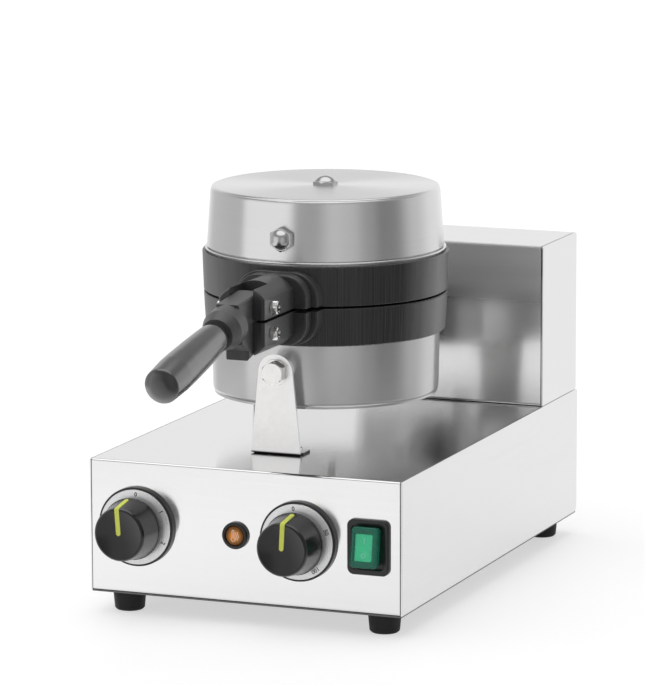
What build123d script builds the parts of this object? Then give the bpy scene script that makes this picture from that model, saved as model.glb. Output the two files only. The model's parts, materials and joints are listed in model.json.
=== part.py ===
"""Round bread press: two hinged heating plates on a steel cabinet with a timer, a thermostat and a switch.

Millimetres. X to the right, Y to the back, Z up. The origin is on the standing surface, in the middle of
the width and of the whole depth, from the tip of the grip to the cable gland.
"""
from math import asin, cos, radians, sin, sqrt
import os

from build123d import *

os.makedirs("parts", exist_ok=True)

# Cabinet
base_width = 250.0
base_depth = 397.0
base_height = 101.6
sheet = 1.2
bend = 2.2
corner_clip = 4.0
flange = 32.0

# Feet and their screws
foot_height = 16.5
foot_top_r = 12.9
foot_bottom_r = 11.3
foot_inset_x = 22.0
foot_inset_y = 22.0
foot_recess = 6.0
screw_r = 2.5
screw_head_r = 4.75
screw_head = 3.0
hole_clearance = 0.2

# Rear column
column_height = 128.0
column_depth = 82.0
column_inset = 1.0
column_flange = 14.0
column_screw_inset = 34.0
column_screw_edge = 7.5
wire_slot_x = 120.0
wire_slot_y = 34.0

# Cooker
cooker_setback = 163.7
parting_height = 111.3
ring_r = 93.3
upper_ring_r = 94.3
lower_ring_r = 91.7
upper_plate_height = 30.7
lower_plate_height = 29.9
upper_ring_lift = 0.7
lower_ring_drop = 1.0
land_gap = 0.3
land_r = 76.0
cavity_r = 56.0
upper_cavity_depth = 22.0
lower_cavity_depth = 18.0
cast_wall = 7.0
rim_wall = 9.0
trough = 12.0
crimp_r = 66.0
crimp_bead = 1.8
crimp_groove = 2.3
cast_edge = 0.8
boss_r = 9.0
boss_rise = 5.5

# Housings of thin sheet over and under the plates
skin = 0.8
lower_housing_r = 87.5
lower_housing_foot_r = 86.3
lower_housing_height = 49.5
lower_housing_edge = 8.0
upper_housing_foot_r = 90.8
upper_housing_r = 87.5
upper_housing_height = 49.4
upper_housing_edge = 3.0
lip_r = 92.3
lip = 1.5

# Heating elements
heater_r = 67.0
heater_tube_r = 4.2
heater_gap_deg = 36.0
heater_leg = 11.0
heater_seat = 0.1

# Front lug in three steps, on both plates
lug_half = 18.2
lug_crown = 26.8
lug_crown_r = 22.0
lug_tip = 15.2
collar_half = 28.1
collar_rise = 26.4
collar_corner = 17.0
collar_reach = 109.7
pad_half = 33.0
pad_rise = 27.5
pad_corner = 20.0
pad_reach = 99.7
lug_gap = 2.2
lug_edge = 1.2
slot_half = 9.6
slot_back = 12.7
lug_root = 80.0

# Latch pins
pin_reach = 151.7
pin_rise = 9.45
pin_r = 3.0
pin_head_r = 4.7
pin_head = 4.3
pin_tail = 9.8
pin_nut_flats = 10.0
pin_nut = 5.0
pivot_play = 0.06
socket_flats = 4.0
socket_depth = 2.4

# Latch lever and grip
lever_half = 9.2
knuckle_r = 11.5
lever_slope = 11.5
collar_face = 50.6
collar_drop = 9.9
socket_r = 15.5
socket_length = 12.0
nose_length = 9.5
nose_r = 12.1
hook_front = 23.2
hook_depth = 36.4
hook_shin = 7.0
hook_toe = 6.8
hook_rise = 3.9
lip_end = 8.0
lip_depth = 29.0
catch_play = 0.35
lever_edge = 1.5
hook_edge = 1.0
grip_neck_r = 11.6
grip_belly_r = 14.1
grip_end_r = 13.1
grip_length = 102.0
grip_dome = 5.0
tang_r = 4.0
tang_in_lever = 16.0
tang_in_grip = 40.0

# Studs, straps and nuts
stud_r = 4.0
stud_bite = 7.5
strap_half = 15.0
strap = 3.0
strap_tail = 22.0
strap_fit = 0.3
nut_flats = 13.0
nut_height = 6.5
front_nut_rise = 50.7
front_nut_x = 1.4
front_nut_flats = 16.5
front_nut_hex = 5.0
front_nut_dome = 11.5
top_nut_flats = 16.5
top_nut_hex = 2.4
top_nut_dome = 4.3
bracket_bolt_drop = 48.6

# Front bracket
bracket_setback = 62.0
bracket = 2.0
bracket_foot_half = 20.0
bracket_head_r = 13.7
bracket_flange = 19.0
bracket_screw_x = 12.0
bracket_screw_y = 11.78
bracket_bend = 2.6
bolt_flats = 16.0
bolt_head = 6.4
bolt_washer_r = 10.0
bolt_washer = 1.0
bolt_r = 5.0
spacer_r = 9.0

# Rear hinge
hinge_reach = 120.3
hinge_rise = 0.6
hinge_pin_r = 4.0
knuckle_half = 13.0
rear_knuckle_r = 11.0
rear_ear = 8.0
ear_play = 0.3
hinge_plate = 3.0
hinge_plate_width = 74.0
hinge_plate_height = 42.0
hinge_plate_drop = 8.0
hinge_screw_x = 62.0
hinge_screw_z = 26.0
hinge_ear_r = 9.0
hinge_head_r = 6.5
hinge_head = 3.0
conduit_r = 8.0
conduit_wall = 1.0
conduit_drop = 60.0
conduit_nut_r = 11.0
conduit_nut = 4.0

# Controls on the front, measured from the middle of the width and from the underside of the cabinet
timer_x = -86.3
timer_z = 52.7
timer_turn = -4.0
thermostat_x = 43.8
thermostat_z = 51.7
thermostat_turn = 3.0
bezel_r = 30.0
bezel = 4.0
dial_r = 28.4
dial = 1.0
knob_gap = 2.6
knob_back_r = 22.0
knob_step = 3.6
knob_skirt_r = 23.6
knob_r = 20.1
knob_face_r = 19.2
knob_length = 27.4
knob_bore_depth = 18.0
pointer_half = 1.85
pointer_start = -0.6
pointer_back = 20.0
pointer_proud = 0.35
pointer_seat = 1.0
spindle_r = 3.0
spindle_play = 0.06
bush_r = 5.0
bush_nut_flats = 14.0
bush_nut = 2.0
timer_body_r = 23.0
timer_body = 34.0
thermostat_body_x = 36.0
thermostat_body_z = 46.0
thermostat_body = 26.0

# Pilot lamp
pilot_x = -6.5
pilot_z = 52.0
pilot_bezel_r = 10.2
pilot_bezel = 3.4
pilot_lens_r = 7.4
pilot_lens = 1.6
pilot_body_r = 6.2
pilot_body = 27.0

# Switch with a splash cap over the rocker
switch_x = 99.2
switch_z = 51.5
switch_width = 32.6
switch_height = 41.5
switch_frame = 3.4
switch_corner = 5.0
opening_width = 24.4
opening_height = 32.2
opening_corner = 3.0
cap_width = 19.8
cap_height = 29.4
cap_back = 4.4
cap_front = 9.8
cap_wall = 0.8
cap_corner = 3.0
rocker_width = 15.0
rocker_height = 21.4
rocker_tilt = 9.0
rocker_axle_r = 2.0
rocker_axle_depth = 3.2
rocker_play = 0.4
switch_body_width = 21.0
switch_body_height = 27.0
switch_body = 26.0
switch_flange = 0.8

# Mains inlet
gland_inset = 45.0
gland_z = 34.0
gland_bore_r = 4.5
gland_r = 9.0
gland_flats = 22.0
gland_hex = 6.0
gland_cap = 8.0
gland_thread_r = 8.0
gland_inside = 12.0

# Heights and depths that follow
cabinet_bottom = foot_height
cabinet_top = cabinet_bottom + base_height
slope = radians(lever_slope)
dome_r = (grip_end_r ** 2 + grip_dome ** 2) / (2 * grip_dome)
grip_start = nose_length
grip_rim = grip_start + grip_length
grip_dome_centre = grip_rim + grip_dome - dome_r
reach_past_axis = pin_reach + collar_face + grip_dome_centre * cos(slope) + dome_r
handle_reach = reach_past_axis - cooker_setback
gland_out = gland_hex + gland_cap
front = -(base_depth + gland_out - handle_reach) / 2
back = front + base_depth
cook_y = front + cooker_setback
parting = cabinet_top + parting_height
lug_reach = pin_reach + lug_tip
slot_reach = pin_reach - slot_back
column_front = back - column_inset - column_depth
hinge_y = cook_y + hinge_reach
hinge_z = parting + hinge_rise
cook_axis = Axis((0, cook_y, 0), (0, 0, 1))
cook_plane = Plane(origin=(0, cook_y, 0), x_dir=(1, 0, 0), z_dir=(0, -1, 0))


def hex_across(flats):
    """Radius of the corners of a hexagon with this width across its flats."""
    return flats / sqrt(3)


# Cabinet: front, top and back in one folded sheet
wrap_half = base_width / 2 - sheet
wrap_bottom = cabinet_bottom + sheet
wrap_mid_y = (front + back) / 2
foot_spots = [
    (side_x * (base_width / 2 - foot_inset_x), end_y, cabinet_bottom)
    for end_y in (front + foot_inset_y, back - foot_inset_y)
    for side_x in (-1, 1)
]
bracket_y = front + bracket_setback
bracket_screws = [(x, bracket_y + bracket_screw_y) for x in (-bracket_screw_x, bracket_screw_x)]
column_mid_y = column_front + column_depth / 2
column_half = base_width / 2 - column_inset
column_back = back - column_inset
column_screw_spots = [
    (x, y)
    for x in (column_screw_inset - column_half, column_half - column_screw_inset)
    for y in (column_front + column_screw_edge, column_back - column_screw_edge)
]
front_plane = Plane.XZ.offset(-front)
control_spots = {
    "timer": (timer_x, cabinet_bottom + timer_z, timer_turn),
    "thermostat": (thermostat_x, cabinet_bottom + thermostat_z, thermostat_turn),
}
pilot_spot = (pilot_x, cabinet_bottom + pilot_z)
switch_spot = (switch_x, cabinet_bottom + switch_z)
gland_spot = (gland_inset - base_width / 2, cabinet_bottom + gland_z)

with BuildPart() as base_wrap:
    with BuildSketch(Plane.YZ.offset(-wrap_half)):
        with Locations((wrap_mid_y, (wrap_bottom + cabinet_top) / 2)):
            Rectangle(base_depth, cabinet_top - wrap_bottom)
    extrude(amount=2 * wrap_half)
    fillet(base_wrap.edges().filter_by(Axis.X), bend)
    offset(amount=-sheet, openings=base_wrap.faces().filter_by(Axis.X))
    with Locations((0, wrap_mid_y, wrap_bottom)):
        Box(2 * wrap_half, base_depth - 2 * flange, 2 * bend, mode=Mode.SUBTRACT)
    with BuildSketch(front_plane):
        for x, z, turn in control_spots.values():
            with Locations((x, z)):
                Circle(bush_r + hole_clearance)
        with Locations(pilot_spot):
            Circle(pilot_body_r + hole_clearance)
        with Locations(switch_spot):
            Rectangle(switch_body_width + 2 * hole_clearance, switch_body_height + 2 * hole_clearance)
    extrude(amount=-2 * sheet, mode=Mode.SUBTRACT)
    with BuildSketch(Plane.XZ.offset(-back)):
        with Locations(gland_spot):
            Circle(gland_thread_r + hole_clearance)
    extrude(amount=2 * sheet, mode=Mode.SUBTRACT)
    with BuildSketch(Plane.XY.offset(cabinet_top)):
        with Locations(*bracket_screws, *column_screw_spots):
            Circle(screw_r + hole_clearance)
        with Locations((0, column_mid_y)):
            Rectangle(wire_slot_x, wire_slot_y)
    extrude(amount=-2 * sheet, mode=Mode.SUBTRACT)
    with BuildSketch(Plane.XY.offset(wrap_bottom)):
        with Locations(*[spot[:2] for spot in foot_spots]):
            Circle(screw_r + hole_clearance)
    extrude(amount=2 * sheet, mode=Mode.SUBTRACT)
base_wrap.part.label = "base_wrap"
export_step(base_wrap.part, "parts/base_wrap.step")

# Cabinet: side panels, with the lower rear corner clipped
for name, side in (("left", -1), ("right", 1)):
    with BuildPart() as base_side:
        with BuildSketch(Plane.YZ.offset(side * wrap_half)):
            with Locations((wrap_mid_y, (wrap_bottom + cabinet_top) / 2)):
                side_outline = Rectangle(base_depth, cabinet_top - wrap_bottom)
            fillet(side_outline.vertices().group_by(Axis.Y)[-1], bend)
        extrude(amount=side * sheet)
        lower_corners = base_side.edges().filter_by(Axis.X).group_by(Axis.Z)[0]
        chamfer(lower_corners.sort_by(Axis.Y)[-1], corner_clip)
    base_side.part.label = f"base_side_{name}"
    export_step(base_side.part, f"parts/base_side_{name}.step")

# Cabinet: bottom plate with cooling slots
plate_inset = 0.8
vent_length = 34.0
vent_width = 3.0
vent_pitch_x = 90.0
vent_pitch_y = 14.0
with BuildPart() as bottom_plate:
    with BuildSketch(Plane.XY.offset(cabinet_bottom)):
        with Locations((0, wrap_mid_y)):
            Rectangle(base_width - 2 * plate_inset, base_depth - 2 * plate_inset)
            with GridLocations(vent_pitch_x, vent_pitch_y, 2, 8):
                SlotOverall(vent_length, vent_width, mode=Mode.SUBTRACT)
        with Locations(*[spot[:2] for spot in foot_spots]):
            Circle(screw_r + hole_clearance, mode=Mode.SUBTRACT)
    extrude(amount=sheet)
bottom_plate.part.label = "bottom_plate"
export_step(bottom_plate.part, "parts/bottom_plate.step")

# Feet: tapered rubber, each on its own screw
foot_names = ("front_left", "front_right", "rear_left", "rear_right")
foot_edge = 1.5
for name, (x, y, z) in zip(foot_names, foot_spots):
    foot_plane = Plane(origin=(x, y, 0), x_dir=(1, 0, 0), z_dir=(0, -1, 0))
    with BuildPart() as foot:
        with BuildSketch(foot_plane):
            with BuildLine():
                Polyline(
                    (screw_r + hole_clearance, foot_height),
                    (foot_top_r, foot_height),
                    (foot_bottom_r, 0),
                    (screw_head_r + 2 * hole_clearance, 0),
                    (screw_head_r + 2 * hole_clearance, foot_recess),
                    (screw_r + hole_clearance, foot_recess),
                    close=True,
                )
            make_face()
        revolve(axis=Axis((x, y, 0), (0, 0, 1)))
        fillet(foot.edges().group_by(Axis.Z)[0].sort_by(SortBy.RADIUS)[-1], foot_edge)
    foot.part.label = f"foot_{name}"
    export_step(foot.part, f"parts/foot_{name}.step")

foot_screw_length = foot_height - foot_recess + 2 * sheet + 6.0
with BuildPart() as foot_screws:
    with Locations(*[(x, y, foot_recess) for x, y, z in foot_spots]):
        Cylinder(screw_r, foot_screw_length, align=(Align.CENTER, Align.CENTER, Align.MIN))
        Cylinder(screw_head_r, screw_head, align=(Align.CENTER, Align.CENTER, Align.MAX))
foot_screws.part.label = "foot_screws"
export_step(foot_screws.part, "parts/foot_screws.step")

# Rear column: front, top and back in one folded sheet, with flanges screwed down to the cabinet
column_top = cabinet_top + column_height
hinge_plate_z = hinge_z - hinge_plate_drop
hinge_screw_spots = [
    (x, hinge_plate_z + z)
    for x in (-hinge_screw_x / 2, hinge_screw_x / 2)
    for z in (-hinge_screw_z / 2, hinge_screw_z / 2)
]
conduit_spot = (0, parting - conduit_drop)
with BuildPart() as column_wrap:
    with BuildSketch(Plane.YZ.offset(-column_half + sheet)):
        with Locations((column_mid_y, (cabinet_top + column_top) / 2)):
            Rectangle(column_depth, column_height)
    extrude(amount=2 * (column_half - sheet))
    fillet(column_wrap.edges().filter_by(Axis.X), bend)
    offset(amount=-sheet, openings=column_wrap.faces().filter_by(Axis.X))
    with Locations((0, column_mid_y, cabinet_top)):
        Box(2 * column_half, column_depth - 2 * column_flange, 2 * bend, mode=Mode.SUBTRACT)
    with BuildSketch(Plane.XY.offset(cabinet_top)):
        with Locations(*column_screw_spots):
            Circle(screw_r + hole_clearance)
    extrude(amount=2 * sheet, mode=Mode.SUBTRACT)
    with BuildSketch(Plane.XZ.offset(-column_front)):
        with Locations(*hinge_screw_spots):
            Circle(screw_r + hole_clearance)
        with Locations(conduit_spot):
            Circle(conduit_r + hole_clearance)
    extrude(amount=-2 * sheet, mode=Mode.SUBTRACT)
column_wrap.part.label = "column_wrap"
export_step(column_wrap.part, "parts/column_wrap.step")

for name, side in (("left", -1), ("right", 1)):
    with BuildPart() as column_side:
        with BuildSketch(Plane.YZ.offset(side * (column_half - sheet))):
            with Locations((column_mid_y, (cabinet_top + column_top) / 2)):
                column_outline = Rectangle(column_depth, column_height)
            fillet(column_outline.vertices().group_by(Axis.Y)[-1], bend)
        extrude(amount=side * sheet)
    column_side.part.label = f"column_side_{name}"
    export_step(column_side.part, f"parts/column_side_{name}.step")

column_screw_length = 2 * sheet + 4.0
with BuildPart() as column_screws:
    with Locations(*[(x, y, cabinet_top - sheet) for x, y in column_screw_spots]):
        Cylinder(screw_r, column_screw_length, align=(Align.CENTER, Align.CENTER, Align.MIN))
        Cylinder(screw_head_r, screw_head, align=(Align.CENTER, Align.CENTER, Align.MAX))
column_screws.part.label = "column_screws"
export_step(column_screws.part, "parts/column_screws.step")

# Plates: two castings, each with a round mould, a heater trough, a stepped front lug and rear ears
pin_y = cook_y - pin_reach
upper_pin = parting + pin_rise
lower_pin = parting - pin_rise
hole_axis_length = 4 * lug_half
plate_data = {
    "lower_plate": (-1, lower_ring_drop, lower_ring_r, lower_plate_height, lower_cavity_depth, 0.0, 0.0, lower_pin),
    "upper_plate": (
        1, upper_ring_lift, upper_ring_r, upper_plate_height, upper_cavity_depth, land_gap, lug_gap, upper_pin,
    ),
}
for name, (up, ring_step, far_r, height, depth, land, lug_face, pin_z) in plate_data.items():
    mould_r = (cavity_r ** 2 + depth ** 2) / (2 * depth)
    mould_centre = land + depth - mould_r
    dome_outer = mould_r + cast_wall
    trough_r = sqrt(dome_outer ** 2 - (trough - mould_centre) ** 2)
    dome_top = mould_centre + dome_outer
    boss_top = dome_top + boss_rise
    inner_r = far_r - rim_wall

    def at(r, z):
        """Point of the half section, with z away from the parting plane."""
        return (r, parting + up * z)

    with BuildPart() as plate_part:
        with BuildSketch(cook_plane):
            with BuildLine():
                Line(at(0, boss_top), at(0, land + depth))
                mould_mid = cavity_r / 2
                ThreePointArc(
                    at(0, land + depth),
                    at(mould_mid, mould_centre + sqrt(mould_r ** 2 - mould_mid ** 2)),
                    at(cavity_r, land),
                )
                Polyline(
                    at(cavity_r, land), at(land_r, land), at(land_r, ring_step), at(ring_r, ring_step),
                    at(far_r, height), at(inner_r, height), at(inner_r, trough), at(trough_r, trough),
                )
                dome_mid = (trough_r + boss_r) / 2
                boss_foot = mould_centre + sqrt(dome_outer ** 2 - boss_r ** 2)
                ThreePointArc(
                    at(trough_r, trough),
                    at(dome_mid, mould_centre + sqrt(dome_outer ** 2 - dome_mid ** 2)),
                    at(boss_r, boss_foot),
                )
                Polyline(at(boss_r, boss_foot), at(boss_r, boss_top), at(0, boss_top))
            make_face()
        revolve(axis=cook_axis)
        rims = plate_part.edges().filter_by(GeomType.CIRCLE).filter_by(lambda edge: edge.is_closed)
        fillet(rims.sort_by(SortBy.RADIUS)[-2:], cast_edge)
        steps = (
            (pad_reach, pad_half, pad_rise, pad_corner),
            (collar_reach, collar_half, collar_rise, collar_corner),
        )
        for reach, half, rise, corner in steps:
            step_plane = Plane.XZ.offset(reach - cook_y)
            with BuildSketch(step_plane):
                with BuildLine():
                    foot_z = parting + up * max(lug_face, ring_step)
                    Polyline(
                        (-half, parting + up * (rise - corner)), (-half, foot_z), (half, foot_z),
                        (half, parting + up * (rise - corner)),
                    )
                    RadiusArc((half, parting + up * (rise - corner)), (half - corner, parting + up * rise), -up * corner)
                    Line((half - corner, parting + up * rise), (corner - half, parting + up * rise))
                    RadiusArc((corner - half, parting + up * rise), (-half, parting + up * (rise - corner)), -up * corner)
                make_face()
            extrude(amount=-(reach - lug_root))
            step_front = plate_part.edges().group_by(Axis.Y)[0]
            fillet(step_front.filter_by(lambda edge: abs(edge.center().Z - foot_z) > lug_edge), lug_edge)
        shoulder = lug_crown - lug_crown_r + sqrt(lug_crown_r ** 2 - lug_half ** 2)
        with BuildSketch(Plane.XZ.offset(lug_reach - cook_y)):
            with BuildLine():
                foot_z = parting + up * lug_face
                Polyline(
                    (-lug_half, parting + up * shoulder), (-lug_half, foot_z), (lug_half, foot_z),
                    (lug_half, parting + up * shoulder),
                )
                ThreePointArc(
                    (lug_half, parting + up * shoulder), (0, parting + up * lug_crown), (-lug_half, parting + up * shoulder)
                )
            make_face()
        extrude(amount=-(lug_reach - lug_root))
        lug_front = plate_part.edges().group_by(Axis.Y)[0]
        fillet(lug_front.filter_by(lambda edge: abs(edge.center().Z - foot_z) > lug_edge), 2 * lug_edge)
        with BuildSketch(Plane.XY.offset(parting - up * lug_crown)):
            with Locations((0, cook_y - (lug_reach + slot_reach) / 2 - lug_edge)):
                Rectangle(2 * slot_half, lug_reach - slot_reach + 2 * lug_edge)
        extrude(amount=up * 3 * lug_crown, mode=Mode.SUBTRACT)
        with Locations(Location((0, pin_y, pin_z), (0, 90, 0))):
            Cylinder(pin_r + pivot_play, hole_axis_length, mode=Mode.SUBTRACT)
        with Locations(Location((0, cook_y, parting + up * (boss_top - stud_bite)))):
            Cylinder(
                stud_r, 2 * stud_bite, mode=Mode.SUBTRACT,
                align=(Align.CENTER, Align.CENTER, Align.MIN if up > 0 else Align.MAX),
            )
        ears = ((0.0, knuckle_half),) if up > 0 else (
            (-(knuckle_half + ear_play + rear_ear / 2), rear_ear / 2), (knuckle_half + ear_play + rear_ear / 2, rear_ear / 2),
        )
        arm_top = rear_knuckle_r + hinge_rise if up > 0 else rear_knuckle_r - hinge_rise
        for ear_x, ear_half in ears:
            with BuildSketch(Plane.YZ.offset(ear_x - ear_half)):
                with Locations((hinge_y, hinge_z)):
                    Circle(rear_knuckle_r)
                with BuildLine():
                    Polyline(
                        (hinge_y, parting + up * arm_top), (cook_y + inner_r, parting + up * (height - 4.0)),
                        (cook_y + inner_r, parting + up * (ring_step + 1.0)), (hinge_y, parting + up * (ring_step + 1.0)),
                        close=True,
                    )
                make_face()
                with Locations((hinge_y, hinge_z)):
                    Circle(hinge_pin_r + (pivot_play if up > 0 else 0.0), mode=Mode.SUBTRACT)
            extrude(amount=2 * ear_half)
        with BuildSketch(cook_plane):
            with Locations(at(crimp_r, land)):
                Circle(crimp_bead if up > 0 else crimp_groove)
        revolve(axis=cook_axis, mode=Mode.ADD if up > 0 else Mode.SUBTRACT)
    plate_part.part.label = name
    export_step(plate_part.part, f"parts/{name}.step")

# Housings: thin spun shells, the lower one with a rounded foot, the upper one with a rolled lip
lower_top_z = parting - lower_plate_height
lower_foot_z = lower_top_z - lower_housing_height
lower_cone = lower_housing_height - lower_housing_edge
upper_foot_z = parting + upper_plate_height
upper_top_z = upper_foot_z + upper_housing_height
upper_cone = upper_housing_height - upper_housing_edge
lower_strap_z = parting - lower_cavity_depth - cast_wall - boss_rise
upper_strap_z = parting + land_gap + upper_cavity_depth + cast_wall + boss_rise
bracket_bolt_z = parting - bracket_bolt_drop
front_nut_z = parting + front_nut_rise
front_nut_r = upper_housing_foot_r - (upper_housing_foot_r - upper_housing_r) * (front_nut_z - upper_foot_z) / upper_cone
upward = (Align.CENTER, Align.CENTER, Align.MIN)
downward = (Align.CENTER, Align.CENTER, Align.MAX)
reach_box = 2 * ring_r

with BuildPart() as lower_housing:
    with BuildSketch(cook_plane):
        with BuildLine():
            Polyline(
                (0, lower_foot_z), (0, lower_top_z), (lower_housing_r, lower_top_z),
                (lower_housing_foot_r, lower_foot_z + lower_housing_edge),
            )
            RadiusArc(
                (lower_housing_foot_r, lower_foot_z + lower_housing_edge),
                (lower_housing_foot_r - lower_housing_edge, lower_foot_z),
                lower_housing_edge,
            )
            Line((lower_housing_foot_r - lower_housing_edge, lower_foot_z), (0, lower_foot_z))
        make_face()
    revolve(axis=cook_axis)
    offset(amount=-skin, openings=lower_housing.faces().sort_by(Axis.Z)[-1])
    with Locations((0, cook_y, lower_foot_z)):
        Cylinder(stud_r + hole_clearance, 4 * skin, mode=Mode.SUBTRACT)
    with Locations(Location((0, cook_y - lower_housing_r, bracket_bolt_z), (90, 0, 0))):
        Cylinder(bolt_r + hole_clearance, 10 * skin, mode=Mode.SUBTRACT)
    with Locations(Location((0, cook_y + lower_housing_r, conduit_spot[1]), (90, 0, 0))):
        Cylinder(conduit_r + hole_clearance, 10 * skin, mode=Mode.SUBTRACT)
lower_housing.part.label = "lower_housing"
export_step(lower_housing.part, "parts/lower_housing.step")

with BuildPart() as upper_housing:
    with BuildSketch(cook_plane):
        with BuildLine():
            Polyline(
                (0, upper_top_z), (0, upper_foot_z), (upper_housing_foot_r, upper_foot_z),
                (upper_housing_r, upper_top_z - upper_housing_edge),
            )
            RadiusArc(
                (upper_housing_r, upper_top_z - upper_housing_edge),
                (upper_housing_r - upper_housing_edge, upper_top_z),
                -upper_housing_edge,
            )
            Line((upper_housing_r - upper_housing_edge, upper_top_z), (0, upper_top_z))
        make_face()
    revolve(axis=cook_axis)
    offset(amount=-skin, openings=upper_housing.faces().sort_by(Axis.Z)[0])
    with BuildSketch(cook_plane):
        with Locations((lip_r - lip / 2, upper_foot_z + lip / 2)):
            Circle(lip / 2)
        with Locations(((lip_r + upper_housing_foot_r) / 2 - lip / 2, upper_foot_z + lip / 2)):
            Rectangle(lip_r - upper_housing_foot_r, lip)
    revolve(axis=cook_axis)
    with Locations((0, cook_y, upper_top_z)):
        Cylinder(stud_r + hole_clearance, 4 * skin, mode=Mode.SUBTRACT)
    with Locations(Location((front_nut_x, cook_y - upper_housing_r, front_nut_z), (90, 0, 0))):
        Cylinder(stud_r + hole_clearance, 10 * skin, mode=Mode.SUBTRACT)
upper_housing.part.label = "upper_housing"
export_step(upper_housing.part, "parts/upper_housing.step")

# Heaters: a bent tube in the trough of each plate, with its ends turned away from the mould
for name, up in (("lower_heater", -1), ("upper_heater", 1)):
    heater_z = parting + up * (trough + heater_seat + heater_tube_r)
    end_angles = (90.0 - heater_gap_deg / 2, 90.0 + heater_gap_deg / 2)
    with BuildPart() as heater:
        with BuildSketch(Plane(
            origin=(0, cook_y, 0),
            x_dir=(cos(radians(end_angles[1])), sin(radians(end_angles[1])), 0),
            z_dir=(sin(radians(end_angles[1])), -cos(radians(end_angles[1])), 0),
        )):
            with Locations((heater_r, heater_z)):
                Circle(heater_tube_r)
        revolve(axis=cook_axis, revolution_arc=360.0 - heater_gap_deg)
        for angle in end_angles:
            leg_x = heater_r * cos(radians(angle))
            leg_y = cook_y + heater_r * sin(radians(angle))
            with Locations((leg_x, leg_y, heater_z)):
                Sphere(heater_tube_r)
                Cylinder(heater_tube_r, heater_leg, align=upward if up > 0 else downward)
    heater.part.label = name
    export_step(heater.part, f"parts/{name}.step")

# Straps: flat bars on the bosses, bent along the housing wall where the front fixing sits
for name, up, strap_z, foot_r, far_r, foot_z, cone, fix_x, fix_z, fix_r in (
    (
        "lower_strap", -1, lower_strap_z, lower_housing_foot_r, lower_housing_r,
        lower_foot_z + lower_housing_edge, lower_cone, 0, bracket_bolt_z, bolt_r,
    ),
    (
        "upper_strap", 1, upper_strap_z, upper_housing_foot_r, upper_housing_r,
        upper_foot_z, upper_cone, front_nut_x, front_nut_z, stud_r,
    ),
):
    outer_play = skin + strap_fit
    tail_end = fix_z + up * strap_tail / 3
    with BuildPart() as strap_part:
        with Locations((0, cook_y, foot_z)):
            Cone(foot_r - outer_play, far_r - outer_play, cone, align=upward)
            Cone(foot_r - outer_play - strap, far_r - outer_play - strap, cone, align=upward, mode=Mode.SUBTRACT)
        with Locations((0, cook_y - foot_r, (strap_z + tail_end) / 2)):
            Box(2 * strap_half, foot_r, abs(tail_end - strap_z), mode=Mode.INTERSECT)
        with BuildSketch(Plane.XY.offset(strap_z)):
            with Locations((0, cook_y)):
                Circle(foot_r - outer_play - strap / 2)
            with Locations((0, cook_y - foot_r / 2 + strap_tail / 2)):
                Rectangle(2 * strap_half, foot_r + strap_tail, mode=Mode.INTERSECT)
        extrude(amount=up * strap)
        with Locations(Location((fix_x, cook_y - far_r, fix_z), (90, 0, 0))):
            Cylinder(fix_r + pivot_play, 8 * strap, mode=Mode.SUBTRACT)
        with Locations((0, cook_y, strap_z)):
            Cylinder(stud_r + hole_clearance, 4 * strap, mode=Mode.SUBTRACT)
    strap_part.part.label = name
    export_step(strap_part.part, f"parts/{name}.step")

# Studs with their lock nuts, and the low domed nut on the lid
for name, up, strap_z, end_z in (
    ("lower_stud", -1, lower_strap_z, lower_foot_z - nut_height),
    ("upper_stud", 1, upper_strap_z, upper_top_z + top_nut_hex),
):
    stud_start = strap_z - up * stud_bite
    with BuildPart() as stud:
        with BuildSketch(Plane.XY.offset(stud_start)):
            with Locations((0, cook_y)):
                Circle(stud_r)
        extrude(amount=end_z - stud_start)
        with BuildSketch(Plane.XY.offset(strap_z + up * strap)):
            with Locations((0, cook_y)):
                RegularPolygon(nut_flats / 2, 6, major_radius=False)
        extrude(amount=up * nut_height)
        if up < 0:
            with BuildSketch(Plane.XY.offset(lower_foot_z)):
                with Locations((0, cook_y)):
                    RegularPolygon(nut_flats / 2, 6, major_radius=False)
            extrude(amount=-nut_height)
    stud.part.label = name
    export_step(stud.part, f"parts/{name}.step")

top_dome_r = ((top_nut_flats / 2) ** 2 + top_nut_dome ** 2) / (2 * top_nut_dome)
with BuildPart() as top_nut:
    with BuildSketch(Plane.XY.offset(upper_top_z)):
        with Locations((0, cook_y)):
            RegularPolygon(top_nut_flats / 2, 6, major_radius=False)
    extrude(amount=top_nut_hex)
    with BuildSketch(cook_plane):
        with BuildLine():
            dome_foot = upper_top_z + top_nut_hex
            Polyline((0, dome_foot + top_nut_dome), (0, dome_foot), (top_nut_flats / 2, dome_foot))
            RadiusArc((top_nut_flats / 2, dome_foot), (0, dome_foot + top_nut_dome), -top_dome_r)
        make_face()
    revolve(axis=cook_axis)
    with Locations((0, cook_y, upper_top_z)):
        Cylinder(stud_r + pivot_play, top_nut_hex + pivot_play, align=upward, mode=Mode.SUBTRACT)
top_nut.part.label = "top_nut"
export_step(top_nut.part, "parts/top_nut.step")

# Acorn screw on the front of the lid, held by the upper strap
acorn_plane = Plane(
    origin=(front_nut_x, cook_y - front_nut_r, front_nut_z), x_dir=(1, 0, 0), z_dir=(0, -1, 0)
)
acorn_bite = skin + strap_fit + strap + 4.0
acorn_neck = 0.8
acorn_stand = 0.6
acorn_r = front_nut_flats / 2 - acorn_neck
with BuildPart() as front_nut:
    with BuildSketch(acorn_plane.offset(acorn_stand)):
        RegularPolygon(front_nut_flats / 2, 6, major_radius=False)
    extrude(amount=front_nut_hex)
    with Locations(acorn_plane.offset(front_nut_dome - acorn_r)):
        Sphere(acorn_r)
    with BuildSketch(acorn_plane.offset(acorn_stand)):
        Rectangle(2 * front_nut_flats, 2 * front_nut_flats)
    extrude(amount=2 * front_nut_dome, mode=Mode.INTERSECT)
    with BuildSketch(acorn_plane.offset(acorn_stand)):
        Circle(stud_r)
    extrude(amount=-acorn_bite)
front_nut.part.label = "front_nut"
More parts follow.
